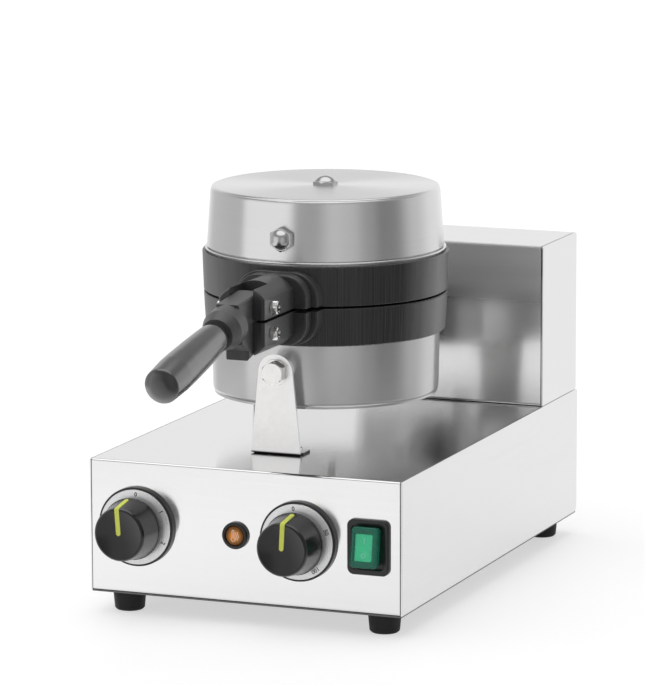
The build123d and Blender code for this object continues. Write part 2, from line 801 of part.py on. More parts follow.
export_step(front_nut.part, "parts/front_nut.step")

# Front bracket: bent sheet with a rounded head, on two screws, holding the lower housing by a bolt
bracket_front_plane = Plane(origin=(0, bracket_y, 0), x_dir=(1, 0, 0), z_dir=(0, -1, 0))
relief = 2.4
with BuildPart() as front_bracket:
    with BuildSketch(bracket_front_plane):
        with BuildLine():
            Line((-bracket_foot_half, cabinet_top), (bracket_foot_half, cabinet_top))
            CenterArc((0, bracket_bolt_z), bracket_head_r, 0, 360)
        make_hull()
    extrude(amount=-bracket)
    with Locations((0, bracket_y, cabinet_top)):
        Box(
            2 * bracket_foot_half, bracket_flange, bracket, align=(Align.CENTER, Align.MIN, Align.MIN),
        )
    across = front_bracket.edges().filter_by(Axis.X)
    outer_bend = across.group_by(Axis.Y)[0].sort_by(Axis.Z)[0]
    fillet(outer_bend, bracket_bend)
    with GridLocations(2 * bracket_foot_half, 0, 2, 1):
        with Locations((0, bracket_y + bracket + relief / 2, cabinet_top)):
            Cylinder(relief, 4 * bracket, mode=Mode.SUBTRACT)
    with Locations(*[(x, y, cabinet_top) for x, y in bracket_screws]):
        Cylinder(screw_r + hole_clearance, 4 * bracket, mode=Mode.SUBTRACT)
    with Locations(Location((0, bracket_y, bracket_bolt_z), (90, 0, 0))):
        Cylinder(bolt_r + hole_clearance, 4 * bracket, mode=Mode.SUBTRACT)
front_bracket.part.label = "front_bracket"
export_step(front_bracket.part, "parts/front_bracket.step")

bracket_screw_bite = bracket + sheet + 5.0
with BuildPart() as bracket_screw_pair:
    with Locations(*[(x, y, cabinet_top + bracket) for x, y in bracket_screws]):
        Cylinder(screw_r, bracket_screw_bite, align=downward)
        Cylinder(screw_head_r, screw_head, align=upward)
bracket_screw_pair.part.label = "bracket_screws"
export_step(bracket_screw_pair.part, "parts/bracket_screws.step")

with BuildPart() as bracket_spacer:
    with BuildSketch(bracket_front_plane.offset(-bracket)):
        with Locations((0, bracket_bolt_z)):
            Circle(spacer_r)
            Circle(bolt_r + hole_clearance, mode=Mode.SUBTRACT)
    extrude(amount=-(cooker_setback - bracket_setback - bracket))
    with Locations((0, cook_y, lower_foot_z + lower_housing_edge)):
        Cone(lower_housing_foot_r, lower_housing_r, lower_cone, align=upward, mode=Mode.SUBTRACT)
bracket_spacer.part.label = "bracket_spacer"
export_step(bracket_spacer.part, "parts/bracket_spacer.step")

bolt_reach = cooker_setback - bracket_setback - lower_housing_foot_r + skin + strap_fit + strap + 5.0
with BuildPart() as bracket_bolt:
    with BuildSketch(bracket_front_plane):
        with Locations((0, bracket_bolt_z)):
            Circle(bolt_washer_r)
    extrude(amount=bolt_washer)
    with BuildSketch(bracket_front_plane.offset(bolt_washer)):
        with Locations((0, bracket_bolt_z)):
            RegularPolygon(bolt_flats / 2, 6, major_radius=False)
    extrude(amount=bolt_head)
    with BuildSketch(bracket_front_plane):
        with Locations((0, bracket_bolt_z)):
            Circle(bolt_r)
    extrude(amount=-bolt_reach)
bracket_bolt.part.label = "bracket_bolt"
export_step(bracket_bolt.part, "parts/bracket_bolt.step")

# Conduit for the wires between the column and the lower housing
conduit_grip = 5.0
conduit_face = 0.4
conduit_start = cook_y + lower_housing_r + conduit_face
with BuildPart() as lower_conduit:
    with BuildSketch(Plane.XZ.offset(-(column_front + sheet + conduit_grip))):
        with Locations(conduit_spot):
            Circle(conduit_r)
            Circle(conduit_r - conduit_wall, mode=Mode.SUBTRACT)
    extrude(amount=column_front + sheet + 2 * conduit_grip - conduit_start)
    for nut_y in (column_front, conduit_start + conduit_nut):
        with BuildSketch(Plane.XZ.offset(-nut_y)):
            with Locations(conduit_spot):
                RegularPolygon(conduit_nut_r, 6, major_radius=False)
                Circle(conduit_r - conduit_wall, mode=Mode.SUBTRACT)
        extrude(amount=conduit_nut)
lower_conduit.part.label = "lower_conduit"
export_step(lower_conduit.part, "parts/lower_conduit.step")

# Rear hinge: bracket on the column, its screws, and the pin through bracket, ears and lid knuckle
ear_inner = knuckle_half + 2 * ear_play + rear_ear
ear_outer = ear_inner + hinge_plate
plate_y = column_front - hinge_plate
with BuildPart() as hinge_bracket:
    with BuildSketch(Plane.XZ.offset(-column_front)):
        with Locations((0, hinge_plate_z)):
            RectangleRounded(hinge_plate_width, hinge_plate_height, 3.0)
        with Locations(*hinge_screw_spots):
            Circle(screw_r + hole_clearance, mode=Mode.SUBTRACT)
    extrude(amount=hinge_plate)
    for ear_x in (-ear_outer, ear_inner):
        with BuildSketch(Plane.YZ.offset(ear_x)):
            with BuildLine():
                ear_low = hinge_plate_z - hinge_plate_height / 2 + hinge_plate
                ear_high = hinge_plate_z + hinge_plate_height / 2 - hinge_plate
                Line((plate_y, ear_low), (plate_y, ear_high))
                CenterArc((hinge_y, hinge_z), hinge_ear_r, 0, 360)
            make_hull()
            with Locations((hinge_y, hinge_z)):
                Circle(hinge_pin_r + pivot_play, mode=Mode.SUBTRACT)
        extrude(amount=hinge_plate)
hinge_bracket.part.label = "hinge_bracket"
export_step(hinge_bracket.part, "parts/hinge_bracket.step")

hinge_screw_bite = hinge_plate + sheet + 4.0
with BuildPart() as hinge_bracket_screws:
    with BuildSketch(Plane.XZ.offset(-(plate_y + hinge_screw_bite))):
        with Locations(*hinge_screw_spots):
            Circle(screw_r)
    extrude(amount=hinge_screw_bite)
    with BuildSketch(Plane.XZ.offset(-plate_y)):
        with Locations(*hinge_screw_spots):
            Circle(screw_head_r)
    extrude(amount=screw_head)
hinge_bracket_screws.part.label = "hinge_bracket_screws"
export_step(hinge_bracket_screws.part, "parts/hinge_bracket_screws.step")

with BuildPart() as hinge_pin:
    with BuildSketch(Plane.YZ.offset(-ear_outer - hinge_head)):
        with Locations((hinge_y, hinge_z)):
            Circle(hinge_pin_r)
    extrude(amount=2 * ear_outer + 2 * hinge_head)
    for head_x in (-ear_outer - hinge_head, ear_outer):
        with BuildSketch(Plane.YZ.offset(head_x)):
            with Locations((hinge_y, hinge_z)):
                Circle(hinge_head_r)
        extrude(amount=hinge_head)
hinge_pin.part.label = "hinge_pin"
export_step(hinge_pin.part, "parts/hinge_pin.step")

# Screws across the lugs, with socket heads on the right and nuts on the left
for screw_name, nut_name, pin_z in (("catch_pin", "catch_nut", lower_pin), ("pivot_bolt", "pivot_nut", upper_pin)):
    with BuildPart() as cross_screw:
        with BuildSketch(Plane.YZ.offset(-lug_half - pin_tail)):
            with Locations((pin_y, pin_z)):
                Circle(pin_r)
        extrude(amount=2 * lug_half + pin_tail)
        with BuildSketch(Plane.YZ.offset(lug_half)):
            with Locations((pin_y, pin_z)):
                Circle(pin_head_r)
        extrude(amount=pin_head)
        with BuildSketch(Plane.YZ.offset(lug_half + pin_head)):
            with Locations((pin_y, pin_z)):
                RegularPolygon(socket_flats / 2, 6, major_radius=False)
        extrude(amount=-socket_depth, mode=Mode.SUBTRACT)
    cross_screw.part.label = screw_name
    export_step(cross_screw.part, f"parts/{screw_name}.step")
    with BuildPart() as cross_nut:
        with BuildSketch(Plane.YZ.offset(-lug_half - pin_nut)):
            with Locations((pin_y, pin_z)):
                RegularPolygon(pin_nut_flats / 2, 6, major_radius=False)
                Circle(pin_r + pivot_play, mode=Mode.SUBTRACT)
        extrude(amount=pin_nut)
    cross_nut.part.label = nut_name
    export_step(cross_nut.part, f"parts/{nut_name}.step")

# Latch lever: a cast hook with a socket for the grip, drawn from the pivot
catch_r = 2 * pin_rise
slot_r = pin_r + catch_play
slot_inner = catch_r - slot_r
slot_outer = catch_r + slot_r
mouth = (-collar_face, -collar_drop)
toward_tip = (-cos(slope), -sin(slope))
toward_top = (-sin(slope), cos(slope))


def on_grip(along, across):
    """Point seen from the pivot, along the grip from the mouth of the socket and across it."""
    return (
        mouth[0] + along * toward_tip[0] + across * toward_top[0],
        mouth[1] + along * toward_tip[1] + across * toward_top[1],
    )


lever_plane = Plane(origin=(-lever_half, pin_y, upper_pin), x_dir=(0, 1, 0), z_dir=(1, 0, 0))
middle_plane = Plane(origin=(0, pin_y, upper_pin), x_dir=(0, 1, 0), z_dir=(1, 0, 0))
mouth_point = (0, pin_y + mouth[0], upper_pin + mouth[1])
grip_axis = Axis(mouth_point, (0, toward_tip[0], toward_tip[1]))
grip_plane = Plane(origin=mouth_point, x_dir=(0, toward_tip[0], toward_tip[1]), z_dir=(1, 0, 0))
knuckle_turn = radians(17.0)
knuckle_join = (knuckle_r * cos(knuckle_turn), -knuckle_r * sin(knuckle_turn))
with BuildPart() as latch_lever:
    with BuildSketch(lever_plane):
        with BuildLine():
            Polyline(
                (0, knuckle_r), on_grip(-socket_length, socket_r), on_grip(-socket_length, -socket_r),
                (-hook_front, -hook_depth + hook_shin), (-hook_front, -hook_depth), (-hook_toe, -hook_depth + hook_rise),
                (lip_end, -lip_depth), (lip_end, -sqrt(slot_outer ** 2 - lip_end ** 2)),
            )
            RadiusArc((lip_end, -sqrt(slot_outer ** 2 - lip_end ** 2)), (0, -slot_outer), slot_outer)
            ThreePointArc((0, -slot_outer), (-slot_r, -catch_r), (0, -slot_inner))
            RadiusArc((0, -slot_inner), (lip_end, -sqrt(slot_inner ** 2 - lip_end ** 2)), -slot_inner)
            Line((lip_end, -sqrt(slot_inner ** 2 - lip_end ** 2)), knuckle_join)
            ThreePointArc(knuckle_join, (knuckle_r * cos(slope * 3), knuckle_r * sin(slope * 3)), (0, knuckle_r))
        make_face()
        with Locations((0, 0)):
            Circle(pin_r + pivot_play, mode=Mode.SUBTRACT)
    extrude(amount=2 * lever_half)
    for side_face in latch_lever.faces().filter_by(Axis.X):
        hook_edges = side_face.outer_wire().edges().filter_by(lambda edge: edge.center().Y < pin_y - slot_r)
        chamfer(hook_edges, hook_edge)
    with BuildSketch(grip_plane):
        with BuildLine():
            Polyline(
                (-socket_length, 0), (-socket_length, socket_r), (0, socket_r), (nose_length, nose_r),
                (nose_length, 0), close=True,
            )
        make_face()
    revolve(axis=grip_axis)
    socket_rims = latch_lever.edges().filter_by(GeomType.CIRCLE).filter_by(lambda edge: abs(edge.radius - socket_r) < 0.01)
    fillet(socket_rims.sort_by(Axis.Y)[0], lever_edge)
    with BuildSketch(grip_plane):
        with Locations((nose_length - tang_in_lever / 2, 0)):
            Rectangle(tang_in_lever + nose_length, 2 * (tang_r + pivot_play))
        with Locations((0, -2 * tang_r)):
            Rectangle(8 * tang_in_lever, 4 * tang_r, mode=Mode.SUBTRACT)
    revolve(axis=grip_axis, mode=Mode.SUBTRACT)
latch_lever.part.label = "latch_lever"
export_step(latch_lever.part, "parts/latch_lever.step")

# Grip: turned black handle on a steel tang
belly_at = 0.76
with BuildPart() as handle_grip:
    with BuildSketch(grip_plane):
        with BuildLine():
            Line((grip_start, 0), (grip_start, grip_neck_r))
            Spline(
                (grip_start, grip_neck_r), (grip_start + grip_length * 0.38, (grip_neck_r + grip_belly_r) / 2 + 0.35),
                (grip_start + grip_length * belly_at, grip_belly_r), (grip_rim, grip_end_r),
            )
            ThreePointArc(
                (grip_rim, grip_end_r),
                (grip_dome_centre + dome_r * cos(asin(grip_end_r / dome_r) / 2), dome_r * sin(asin(grip_end_r / dome_r) / 2)),
                (grip_rim + grip_dome, 0),
            )
            Line((grip_rim + grip_dome, 0), (grip_start, 0))
        make_face()
    revolve(axis=grip_axis)
    with BuildSketch(grip_plane):
        with Locations((grip_start + tang_in_grip / 2, (tang_r + pivot_play) / 2)):
            Rectangle(tang_in_grip, tang_r + pivot_play)
    revolve(axis=grip_axis, mode=Mode.SUBTRACT)
handle_grip.part.label = "handle_grip"
export_step(handle_grip.part, "parts/handle_grip.step")

with BuildPart() as grip_tang:
    with BuildSketch(grip_plane):
        with Locations((grip_start + (tang_in_grip - tang_in_lever) / 2, tang_r / 2)):
            Rectangle(tang_in_grip + tang_in_lever - 2 * hole_clearance, tang_r)
    revolve(axis=grip_axis)
grip_tang.part.label = "grip_tang"
export_step(grip_tang.part, "parts/grip_tang.step")

# Knobs, with their dials, bezels, spindles and the bodies behind the panel
knob_back = bezel + dial / 2 + knob_gap
knob_face = knob_back + knob_length
dial_seat = bezel - dial / 2
knob_edge = 1.2


def knob_section(plane, grow):
    """Half section of a knob with its outside moved out by this much."""
    with BuildSketch(plane) as section:
        with BuildLine():
            Polyline(
                (0, knob_back), (knob_back_r + grow, knob_back), (knob_back_r + grow, knob_back + knob_step),
                (knob_skirt_r + grow, knob_back + knob_step), (knob_r + grow, knob_face - knob_edge + grow),
                (knob_face_r + grow, knob_face + grow), (0, knob_face + grow), close=True,
            )
        make_face()
    return section.sketch


for name, (x, z, turn) in control_spots.items():
    lean = radians(turn)
    dial_plane = Plane(origin=(x, front, z), x_dir=(cos(lean), 0, -sin(lean)), z_dir=(0, -1, 0))
    turned_plane = Plane(origin=(x, front, z), x_dir=(1, 0, 0), z_dir=(0, 0, -1))
    spindle_axis = Axis((x, front, z), (0, -1, 0))
    slab_height = knob_skirt_r + 2 * pointer_proud
    with BuildPart() as bezel_ring:
        with BuildSketch(dial_plane):
            Circle(bezel_r)
            Circle(bush_r + hole_clearance, mode=Mode.SUBTRACT)
        extrude(amount=bezel)
        with BuildSketch(dial_plane.offset(dial_seat)):
            Circle(dial_r + hole_clearance)
        extrude(amount=dial, mode=Mode.SUBTRACT)
    bezel_ring.part.label = f"{name}_bezel"
    export_step(bezel_ring.part, f"parts/{name}_bezel.step")

    with BuildPart() as dial_disc:
        with BuildSketch(dial_plane.offset(dial_seat)):
            Circle(dial_r)
            Circle(bush_r + hole_clearance, mode=Mode.SUBTRACT)
        extrude(amount=dial)
    dial_disc.part.label = f"{name}_dial"
    export_step(dial_disc.part, f"parts/{name}_dial.step")

    with BuildPart() as control_body:
        with BuildSketch(dial_plane.offset(-sheet)):
            if name == "timer":
                Circle(timer_body_r)
            else:
                Rectangle(thermostat_body_x, thermostat_body_z)
        extrude(amount=-(timer_body if name == "timer" else thermostat_body))
        with BuildSketch(dial_plane.offset(-sheet)):
            Circle(bush_r)
        extrude(amount=sheet + dial_seat + dial + bush_nut)
        with BuildSketch(dial_plane.offset(dial_seat + dial)):
            RegularPolygon(bush_nut_flats / 2, 6, major_radius=False)
        extrude(amount=bush_nut)
        with BuildSketch(dial_plane.offset(knob_back)):
            Circle(spindle_r + spindle_play)
        extrude(amount=-(knob_back + sheet + timer_body / 2), mode=Mode.SUBTRACT)
    control_body.part.label = f"{name}_body"
    export_step(control_body.part, f"parts/{name}_body.step")

    section_plane = Plane(dial_plane.origin, x_dir=dial_plane.x_dir, z_dir=-dial_plane.y_dir)
    with BuildPart() as pointer:
        revolve(knob_section(section_plane, pointer_proud), axis=spindle_axis)
        revolve(knob_section(section_plane, -pointer_seat), axis=spindle_axis, mode=Mode.SUBTRACT)
        with BuildSketch(section_plane):
            with Locations((0, knob_face + pointer_half)):
                Rectangle(2 * pointer_half, 2 * (pointer_back + pointer_half) - 2 * pointer_half)
            with Locations((0, knob_face + 2 * pointer_half - pointer_back)):
                Circle(pointer_half)
        extrude(amount=-slab_height, mode=Mode.INTERSECT)
        with BuildSketch(dial_plane.offset(knob_back)):
            with Locations((0, pointer_start + pointer_half + slab_height / 2)):
                Rectangle(2 * pointer_half, slab_height)
            with Locations((0, pointer_start + pointer_half)):
                Circle(pointer_half)
        extrude(amount=2 * knob_length, mode=Mode.INTERSECT)
    pointer.part.label = f"{name}_pointer"
    export_step(pointer.part, f"parts/{name}_pointer.step")

    with BuildPart() as knob:
        revolve(knob_section(section_plane, 0.0), axis=spindle_axis)
        add(pointer.part, mode=Mode.SUBTRACT)
        with BuildSketch(dial_plane.offset(knob_back)):
            Circle(spindle_r + pivot_play)
        extrude(amount=knob_bore_depth, mode=Mode.SUBTRACT)
        with BuildSketch(dial_plane.offset(knob_back)):
            Circle(knob_back_r - 4.0)
        extrude(amount=bush_nut, mode=Mode.SUBTRACT)
    knob.part.label = f"{name}_knob"
    export_step(knob.part, f"parts/{name}_knob.step")

    spindle_end = knob_back + knob_bore_depth - hole_clearance
    with BuildPart() as spindle:
        with BuildSketch(dial_plane.offset(spindle_end)):
            Circle(spindle_r)
        extrude(amount=-(spindle_end + sheet + timer_body / 2 - hole_clearance))
    spindle.part.label = f"{name}_spindle"
    export_step(spindle.part, f"parts/{name}_spindle.step")

# Pilot lamp: bezel and body in one, with its own lens
lens_back = 1.0
with BuildPart() as pilot_bezel_part:
    with BuildSketch(front_plane):
        with Locations(pilot_spot):
            Circle(pilot_bezel_r)
    extrude(amount=pilot_bezel)
    fillet(pilot_bezel_part.edges().filter_by(GeomType.CIRCLE).sort_by(Axis.Y)[0], 1.2)
    with BuildSketch(front_plane.offset(lens_back)):
        with Locations(pilot_spot):
            Circle(pilot_lens_r + pivot_play)
    extrude(amount=pilot_bezel, mode=Mode.SUBTRACT)
    with BuildSketch(front_plane):
        with Locations(pilot_spot):
            Circle(pilot_body_r)
    extrude(amount=-pilot_body)
pilot_bezel_part.part.label = "pilot_bezel"
export_step(pilot_bezel_part.part, "parts/pilot_bezel.step")

with BuildPart() as pilot_lens_part:
    with BuildSketch(front_plane.offset(lens_back)):
        with Locations(pilot_spot):
            Circle(pilot_lens_r)
    extrude(amount=pilot_lens)
pilot_lens_part.part.label = "pilot_lens"
export_step(pilot_lens_part.part, "parts/pilot_lens.step")

# Switch: frame, body with the rocker's bearings, rocker on its axle, and the splash cap that tilts with it
frame_play = 0.2
flange_reach = 1.5
body_wall = (switch_body_width - rocker_width - 2 * rocker_play) / 2
axle_out = 0.8
flange_width = opening_width + 2 * flange_reach
flange_height = opening_height + 2 * flange_reach
with BuildPart() as switch_frame_part:
    with BuildSketch(front_plane):
        with Locations(switch_spot):
            RectangleRounded(switch_width, switch_height, switch_corner)
    extrude(amount=switch_frame)
    fillet(switch_frame_part.faces().sort_by(Axis.Y)[0].edges(), 1.2)
    with BuildSketch(front_plane):
        with Locations(switch_spot):
            RectangleRounded(opening_width, opening_height, opening_corner)
    extrude(amount=switch_frame, mode=Mode.SUBTRACT)
    with BuildSketch(front_plane):
        with Locations(switch_spot):
            Rectangle(flange_width + 2 * frame_play, flange_height + 2 * frame_play)
    extrude(amount=switch_flange, mode=Mode.SUBTRACT)
switch_frame_part.part.label = "switch_frame"
export_step(switch_frame_part.part, "parts/switch_frame.step")

rocker_half = rocker_height / 2
rocker_front = cap_front - cap_wall
rocker_well = 6.0
with BuildPart() as switch_body_part:
    with BuildSketch(front_plane):
        with Locations(switch_spot):
            Rectangle(flange_width, flange_height)
    extrude(amount=switch_flange)
    with BuildSketch(front_plane):
        with Locations(switch_spot):
            Rectangle(switch_body_width, switch_body_height)
    extrude(amount=-switch_body)
    with BuildSketch(front_plane.offset(switch_flange)):
        with Locations(switch_spot):
            Rectangle(rocker_width + 2 * rocker_play, rocker_height + 6 * rocker_play)
    extrude(amount=-rocker_well, mode=Mode.SUBTRACT)
    with Locations(Location((switch_spot[0], front - axle_out, switch_spot[1]), (0, 90, 0))):
        Cylinder(rocker_axle_r + pivot_play, switch_body_width - body_wall, mode=Mode.SUBTRACT)
switch_body_part.part.label = "switch_body"
export_step(switch_body_part.part, "parts/switch_body.step")

tilt = radians(rocker_tilt)
cap_plane = Plane(
    origin=(switch_spot[0], front - axle_out, switch_spot[1]), x_dir=(1, 0, 0), z_dir=(0, -cos(tilt), sin(tilt))
)
with BuildPart() as switch_rocker:
    with BuildSketch(cap_plane.offset(-rocker_axle_depth)):
        Rectangle(rocker_width, rocker_height)
    extrude(amount=rocker_axle_depth + rocker_front)
    with Locations(Location((switch_spot[0], front - axle_out, switch_spot[1]), (0, 90, 0))):
        Cylinder(rocker_axle_r, switch_body_width - body_wall - 2 * frame_play)
switch_rocker.part.label = "switch_rocker"
export_step(switch_rocker.part, "parts/switch_rocker.step")

with BuildPart() as switch_boot:
    with BuildSketch(cap_plane.offset(cap_back)):
        RectangleRounded(cap_width, cap_height, cap_corner)
    extrude(amount=cap_front - cap_back)
    fillet(switch_boot.faces().sort_by(Axis.Y)[0].edges(), 2 * cap_wall)
    with BuildSketch(cap_plane.offset(cap_back)):
        RectangleRounded(cap_width - 2 * cap_wall, cap_height - 2 * cap_wall, cap_corner - cap_wall)
    extrude(amount=cap_front - cap_back - cap_wall, mode=Mode.SUBTRACT)
switch_boot.part.label = "switch_boot"
export_step(switch_boot.part, "parts/switch_boot.step")

# Cable gland at the rear, for the mains lead
gland_nut = 4.0
with BuildPart() as cord_gland:
    with BuildSketch(Plane.XZ.offset(-(back + gland_hex))):
        with Locations(gland_spot):
            RegularPolygon(gland_flats / 2, 6, major_radius=False)
    extrude(amount=gland_hex)
    with BuildSketch(Plane.XZ.offset(-(back + gland_hex + gland_cap))):
        with Locations(gland_spot):
            Circle(gland_r)
    extrude(amount=gland_cap)
    with BuildSketch(Plane.XZ.offset(-back)):
        with Locations(gland_spot):
            Circle(gland_thread_r)
    extrude(amount=gland_inside)
    with BuildSketch(Plane.XZ.offset(-(back - sheet))):
        with Locations(gland_spot):
            RegularPolygon(gland_flats / 2, 6, major_radius=False)
    extrude(amount=gland_nut)
    with BuildSketch(Plane.XZ.offset(-(back + gland_hex + gland_cap))):
        with Locations(gland_spot):
            Circle(gland_bore_r)
    extrude(amount=gland_hex + gland_cap + gland_inside, mode=Mode.SUBTRACT)
cord_gland.part.label = "cord_gland"
export_step(cord_gland.part, "parts/cord_gland.step")
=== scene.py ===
"""Looks of the round bread press: finishes, fine shapes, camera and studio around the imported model.

Metres. Pieces are drawn in millimetres in their own plane and placed by a matrix.
"""
import json
from math import atan2, cos, pi, radians, sin, sqrt, tan

import bmesh
import bpy
from bpy.props import FloatProperty, FloatVectorProperty, IntProperty, PointerProperty
from mathutils import Matrix, Vector

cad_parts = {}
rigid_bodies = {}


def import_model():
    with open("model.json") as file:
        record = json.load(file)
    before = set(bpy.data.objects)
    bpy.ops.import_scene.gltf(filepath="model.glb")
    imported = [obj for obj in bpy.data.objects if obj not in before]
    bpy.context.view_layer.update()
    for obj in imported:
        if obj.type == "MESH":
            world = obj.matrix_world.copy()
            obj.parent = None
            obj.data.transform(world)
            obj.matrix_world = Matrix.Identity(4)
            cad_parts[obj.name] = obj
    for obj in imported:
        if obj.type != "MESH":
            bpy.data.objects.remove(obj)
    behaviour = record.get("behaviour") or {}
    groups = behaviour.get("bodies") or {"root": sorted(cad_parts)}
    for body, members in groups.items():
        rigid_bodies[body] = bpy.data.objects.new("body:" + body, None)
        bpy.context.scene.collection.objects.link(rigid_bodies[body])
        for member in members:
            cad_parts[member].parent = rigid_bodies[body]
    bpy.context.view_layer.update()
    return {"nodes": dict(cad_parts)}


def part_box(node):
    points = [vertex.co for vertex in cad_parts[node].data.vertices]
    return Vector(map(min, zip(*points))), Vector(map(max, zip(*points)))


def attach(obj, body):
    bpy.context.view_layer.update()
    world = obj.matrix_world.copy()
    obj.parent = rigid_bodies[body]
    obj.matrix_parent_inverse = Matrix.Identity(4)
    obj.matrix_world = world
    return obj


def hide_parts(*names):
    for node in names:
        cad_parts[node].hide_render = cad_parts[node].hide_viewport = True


bl_info = {
    "name": "Round Bread Press",
    "version": (1, 0, 0),
    "blender": (4, 5, 0),
    "location": "3D View > Sidebar > Press",
    "description": "Dresses the packed model of a round bread press and sets up its studio",
    "category": "Object",
}

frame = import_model()
MM = 0.001
to_right = (1.0, 0.0, 0.0)
to_back = (0.0, 1.0, 0.0)
to_front = (0.0, -1.0, 0.0)
up = (0.0, 0.0, 1.0)
down = (0.0, 0.0, -1.0)


def span(node):
    """Size of a node's box along each axis, in millimetres."""
    low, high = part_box(node)
    return (high - low) / MM


def middle(node):
    """Middle of a node's box, in metres."""
    low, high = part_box(node)
    return (low + high) / 2


# Places taken from the frame
front_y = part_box("base_wrap")[0].y
back_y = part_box("base_wrap")[1].y
column_front_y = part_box("column_wrap")[0].y
cook_y = middle("upper_housing").y
upper_rim_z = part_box("upper_housing")[0].z
lid_top_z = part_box("top_nut")[0].z
lower_rim_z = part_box("lower_housing")[1].z
lower_foot_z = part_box("lower_housing")[0].z
bracket_seat_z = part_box("front_bracket")[0].z


def count_of(name, description, default, low, high):
    return IntProperty(name=name, description=description, default=default, min=low, max=high)


def length_of(name, description, default, low=0.0):
    return FloatProperty(name=name, description=description, default=default, min=low, unit="LENGTH")


def colour_of(name, description, *default):
    return FloatVectorProperty(
        name=name, description=description, default=default, subtype="COLOR", min=0.0, max=1.0
    )


class PressSizes(bpy.types.PropertyGroup):
    """Sizes of the fine shapes that the looks add to the model."""

    turned_segments: count_of("Turned segments", "Faces around a large turned piece", 192, 24, 512)
    small_segments: count_of("Small segments", "Faces around a small turned piece", 96, 12, 256)
    sheet_edge: length_of("Sheet edge", "Rounding of the edges of the steel sheets", 0.00035)
    seam: length_of("Seam", "Open seam between the folded sheets and the side panels", 0.0005)
    cast_edge: length_of("Cast edge", "Rounding of the edges of the latch lever", 0.0007)
    plate_edge: length_of("Plate edge", "Rounding of the edges of the cast plates", 0.0005)
    skin: length_of("Housing skin", "Thickness of the spun housings", 0.0008, 0.0001)
    number_height: length_of("Number height", "Height of the numbers on the dials", 0.0032, 0.001)
    number_ring: length_of("Number ring", "Radius on which the dial numbers stand", 0.0249, 0.01)
    print_depth: length_of("Print depth", "Thickness of printed marks", 0.00006)
    gland_ribs: count_of("Gland ribs", "Grip ribs around the cap of the cable gland", 18, 6, 60)


class PressColours(bpy.types.PropertyGroup):
    """Colours of the finishes."""

    cabinet: colour_of("Cabinet steel", "Brushed sheet of the cabinet and column", 0.84, 0.84, 0.84)
    housing: colour_of("Housing steel", "Spun steel over the plates", 0.72, 0.72, 0.72)
    plate: colour_of("Plate", "Coated casting of the plates", 0.020, 0.020, 0.0205)
    lever: colour_of("Lever", "Coated casting of the latch lever", 0.05, 0.05, 0.051)
    grip: colour_of("Grip", "Glossy plastic of the grip", 0.036, 0.036, 0.037)
    plastic: colour_of("Black plastic", "Knobs, bezels, frame and gland", 0.011, 0.011, 0.0115)
    pointer: colour_of("Pointer", "Coloured line on the knobs", 0.75, 0.81, 0.13)
    green: colour_of("Switch", "Lit rocker of the switch", 0.01, 0.50, 0.28)
    amber: colour_of("Pilot lens", "Lens of the pilot lamp", 0.75, 0.24, 0.035)
    chrome: colour_of("Fixings", "Plated nuts, screws and bolts", 0.80, 0.795, 0.785)
    floor: colour_of("Floor", "Studio floor", 0.50, 0.50, 0.50)


def sizes():
    return bpy.context.scene.press_sizes


def colours():
    return bpy.context.scene.press_colours


# Nodes. A value that feeds a socket is another socket, a number or a vector
def feed(tree, value, socket):
    if isinstance(value, bpy.types.NodeSocket):
        tree.links.new(value, socket)
    elif value is not None:
        socket.default_value = value


def fed_node(tree, kind, values, **settings):
    """A node with these settings whose inputs, in order or by label, are fed; returns the node."""
    node = tree.nodes.new(kind)
    for label, setting in settings.items():
        setattr(node, label, setting)
    if isinstance(values, dict):
        pairs = [(value, node.inputs[label]) for label, value in values.items()]
    else:
        pairs = zip(values, node.inputs)
    for value, socket in pairs:
        feed(tree, value, socket)
    return node


def math_node(tree, operation, *values, clamp=False):
    return fed_node(tree, "ShaderNodeMath", values, operation=operation, use_clamp=clamp).outputs[0]


def vector_node(tree, operation, *values):
    """Vector of a vector maths node, or its value where it takes a length."""
    node = fed_node(tree, "ShaderNodeVectorMath", values, operation=operation)
    return node.outputs["Value" if operation == "LENGTH" else "Vector"]


def combined(tree, *parts):
    return fed_node(tree, "ShaderNodeCombineXYZ", parts).outputs[0]


def parts_of(tree, vector):
    """X, Y and Z of a vector, by label."""
    return fed_node(tree, "ShaderNodeSeparateXYZ", (vector,)).outputs


def flat_part(tree, vector):
    """Vector without its Z."""
    return vector_node(tree, "MULTIPLY", vector, (1.0, 1.0, 0.0))


def ranged(tree, value, low, high, to_low=0.0, to_high=1.0, smooth=False):
    """Value mapped from one range to another."""
    values = {"Value": value, "From Min": low, "From Max": high, "To Min": to_low, "To Max": to_high}
    course = "SMOOTHSTEP" if smooth else "LINEAR"
    return fed_node(tree, "ShaderNodeMapRange", values, interpolation_type=course).outputs["Result"]


def noise_node(tree, vector, scale, detail, roughness=0.6):
    values = {"Vector": vector, "Scale": scale, "Detail": detail, "Roughness": roughness}
    return fed_node(tree, "ShaderNodeTexNoise", values).outputs[0]


def colour_mix(tree, factor, first, second):
    """Colour from first to second by a factor; the mix node's colour inputs follow its other ones."""
    values = (factor, None, None, None, None, None, first, second)
    return fed_node(tree, "ShaderNodeMix", values, data_type="RGBA").outputs[2]


def mirrored_ray(tree):
    """One for rays that reach a surface by a mirror or through glass, and the light path's other outputs."""
    rays = tree.nodes.new("ShaderNodeLightPath").outputs
    return math_node(tree, "MAXIMUM", rays["Is Glossy Ray"], rays["Is Transmission Ray"]), rays


# Shader node groups
socket_kinds = {type(None): "NodeSocketVector", float: "NodeSocketFloat", tuple: "NodeSocketColor"}


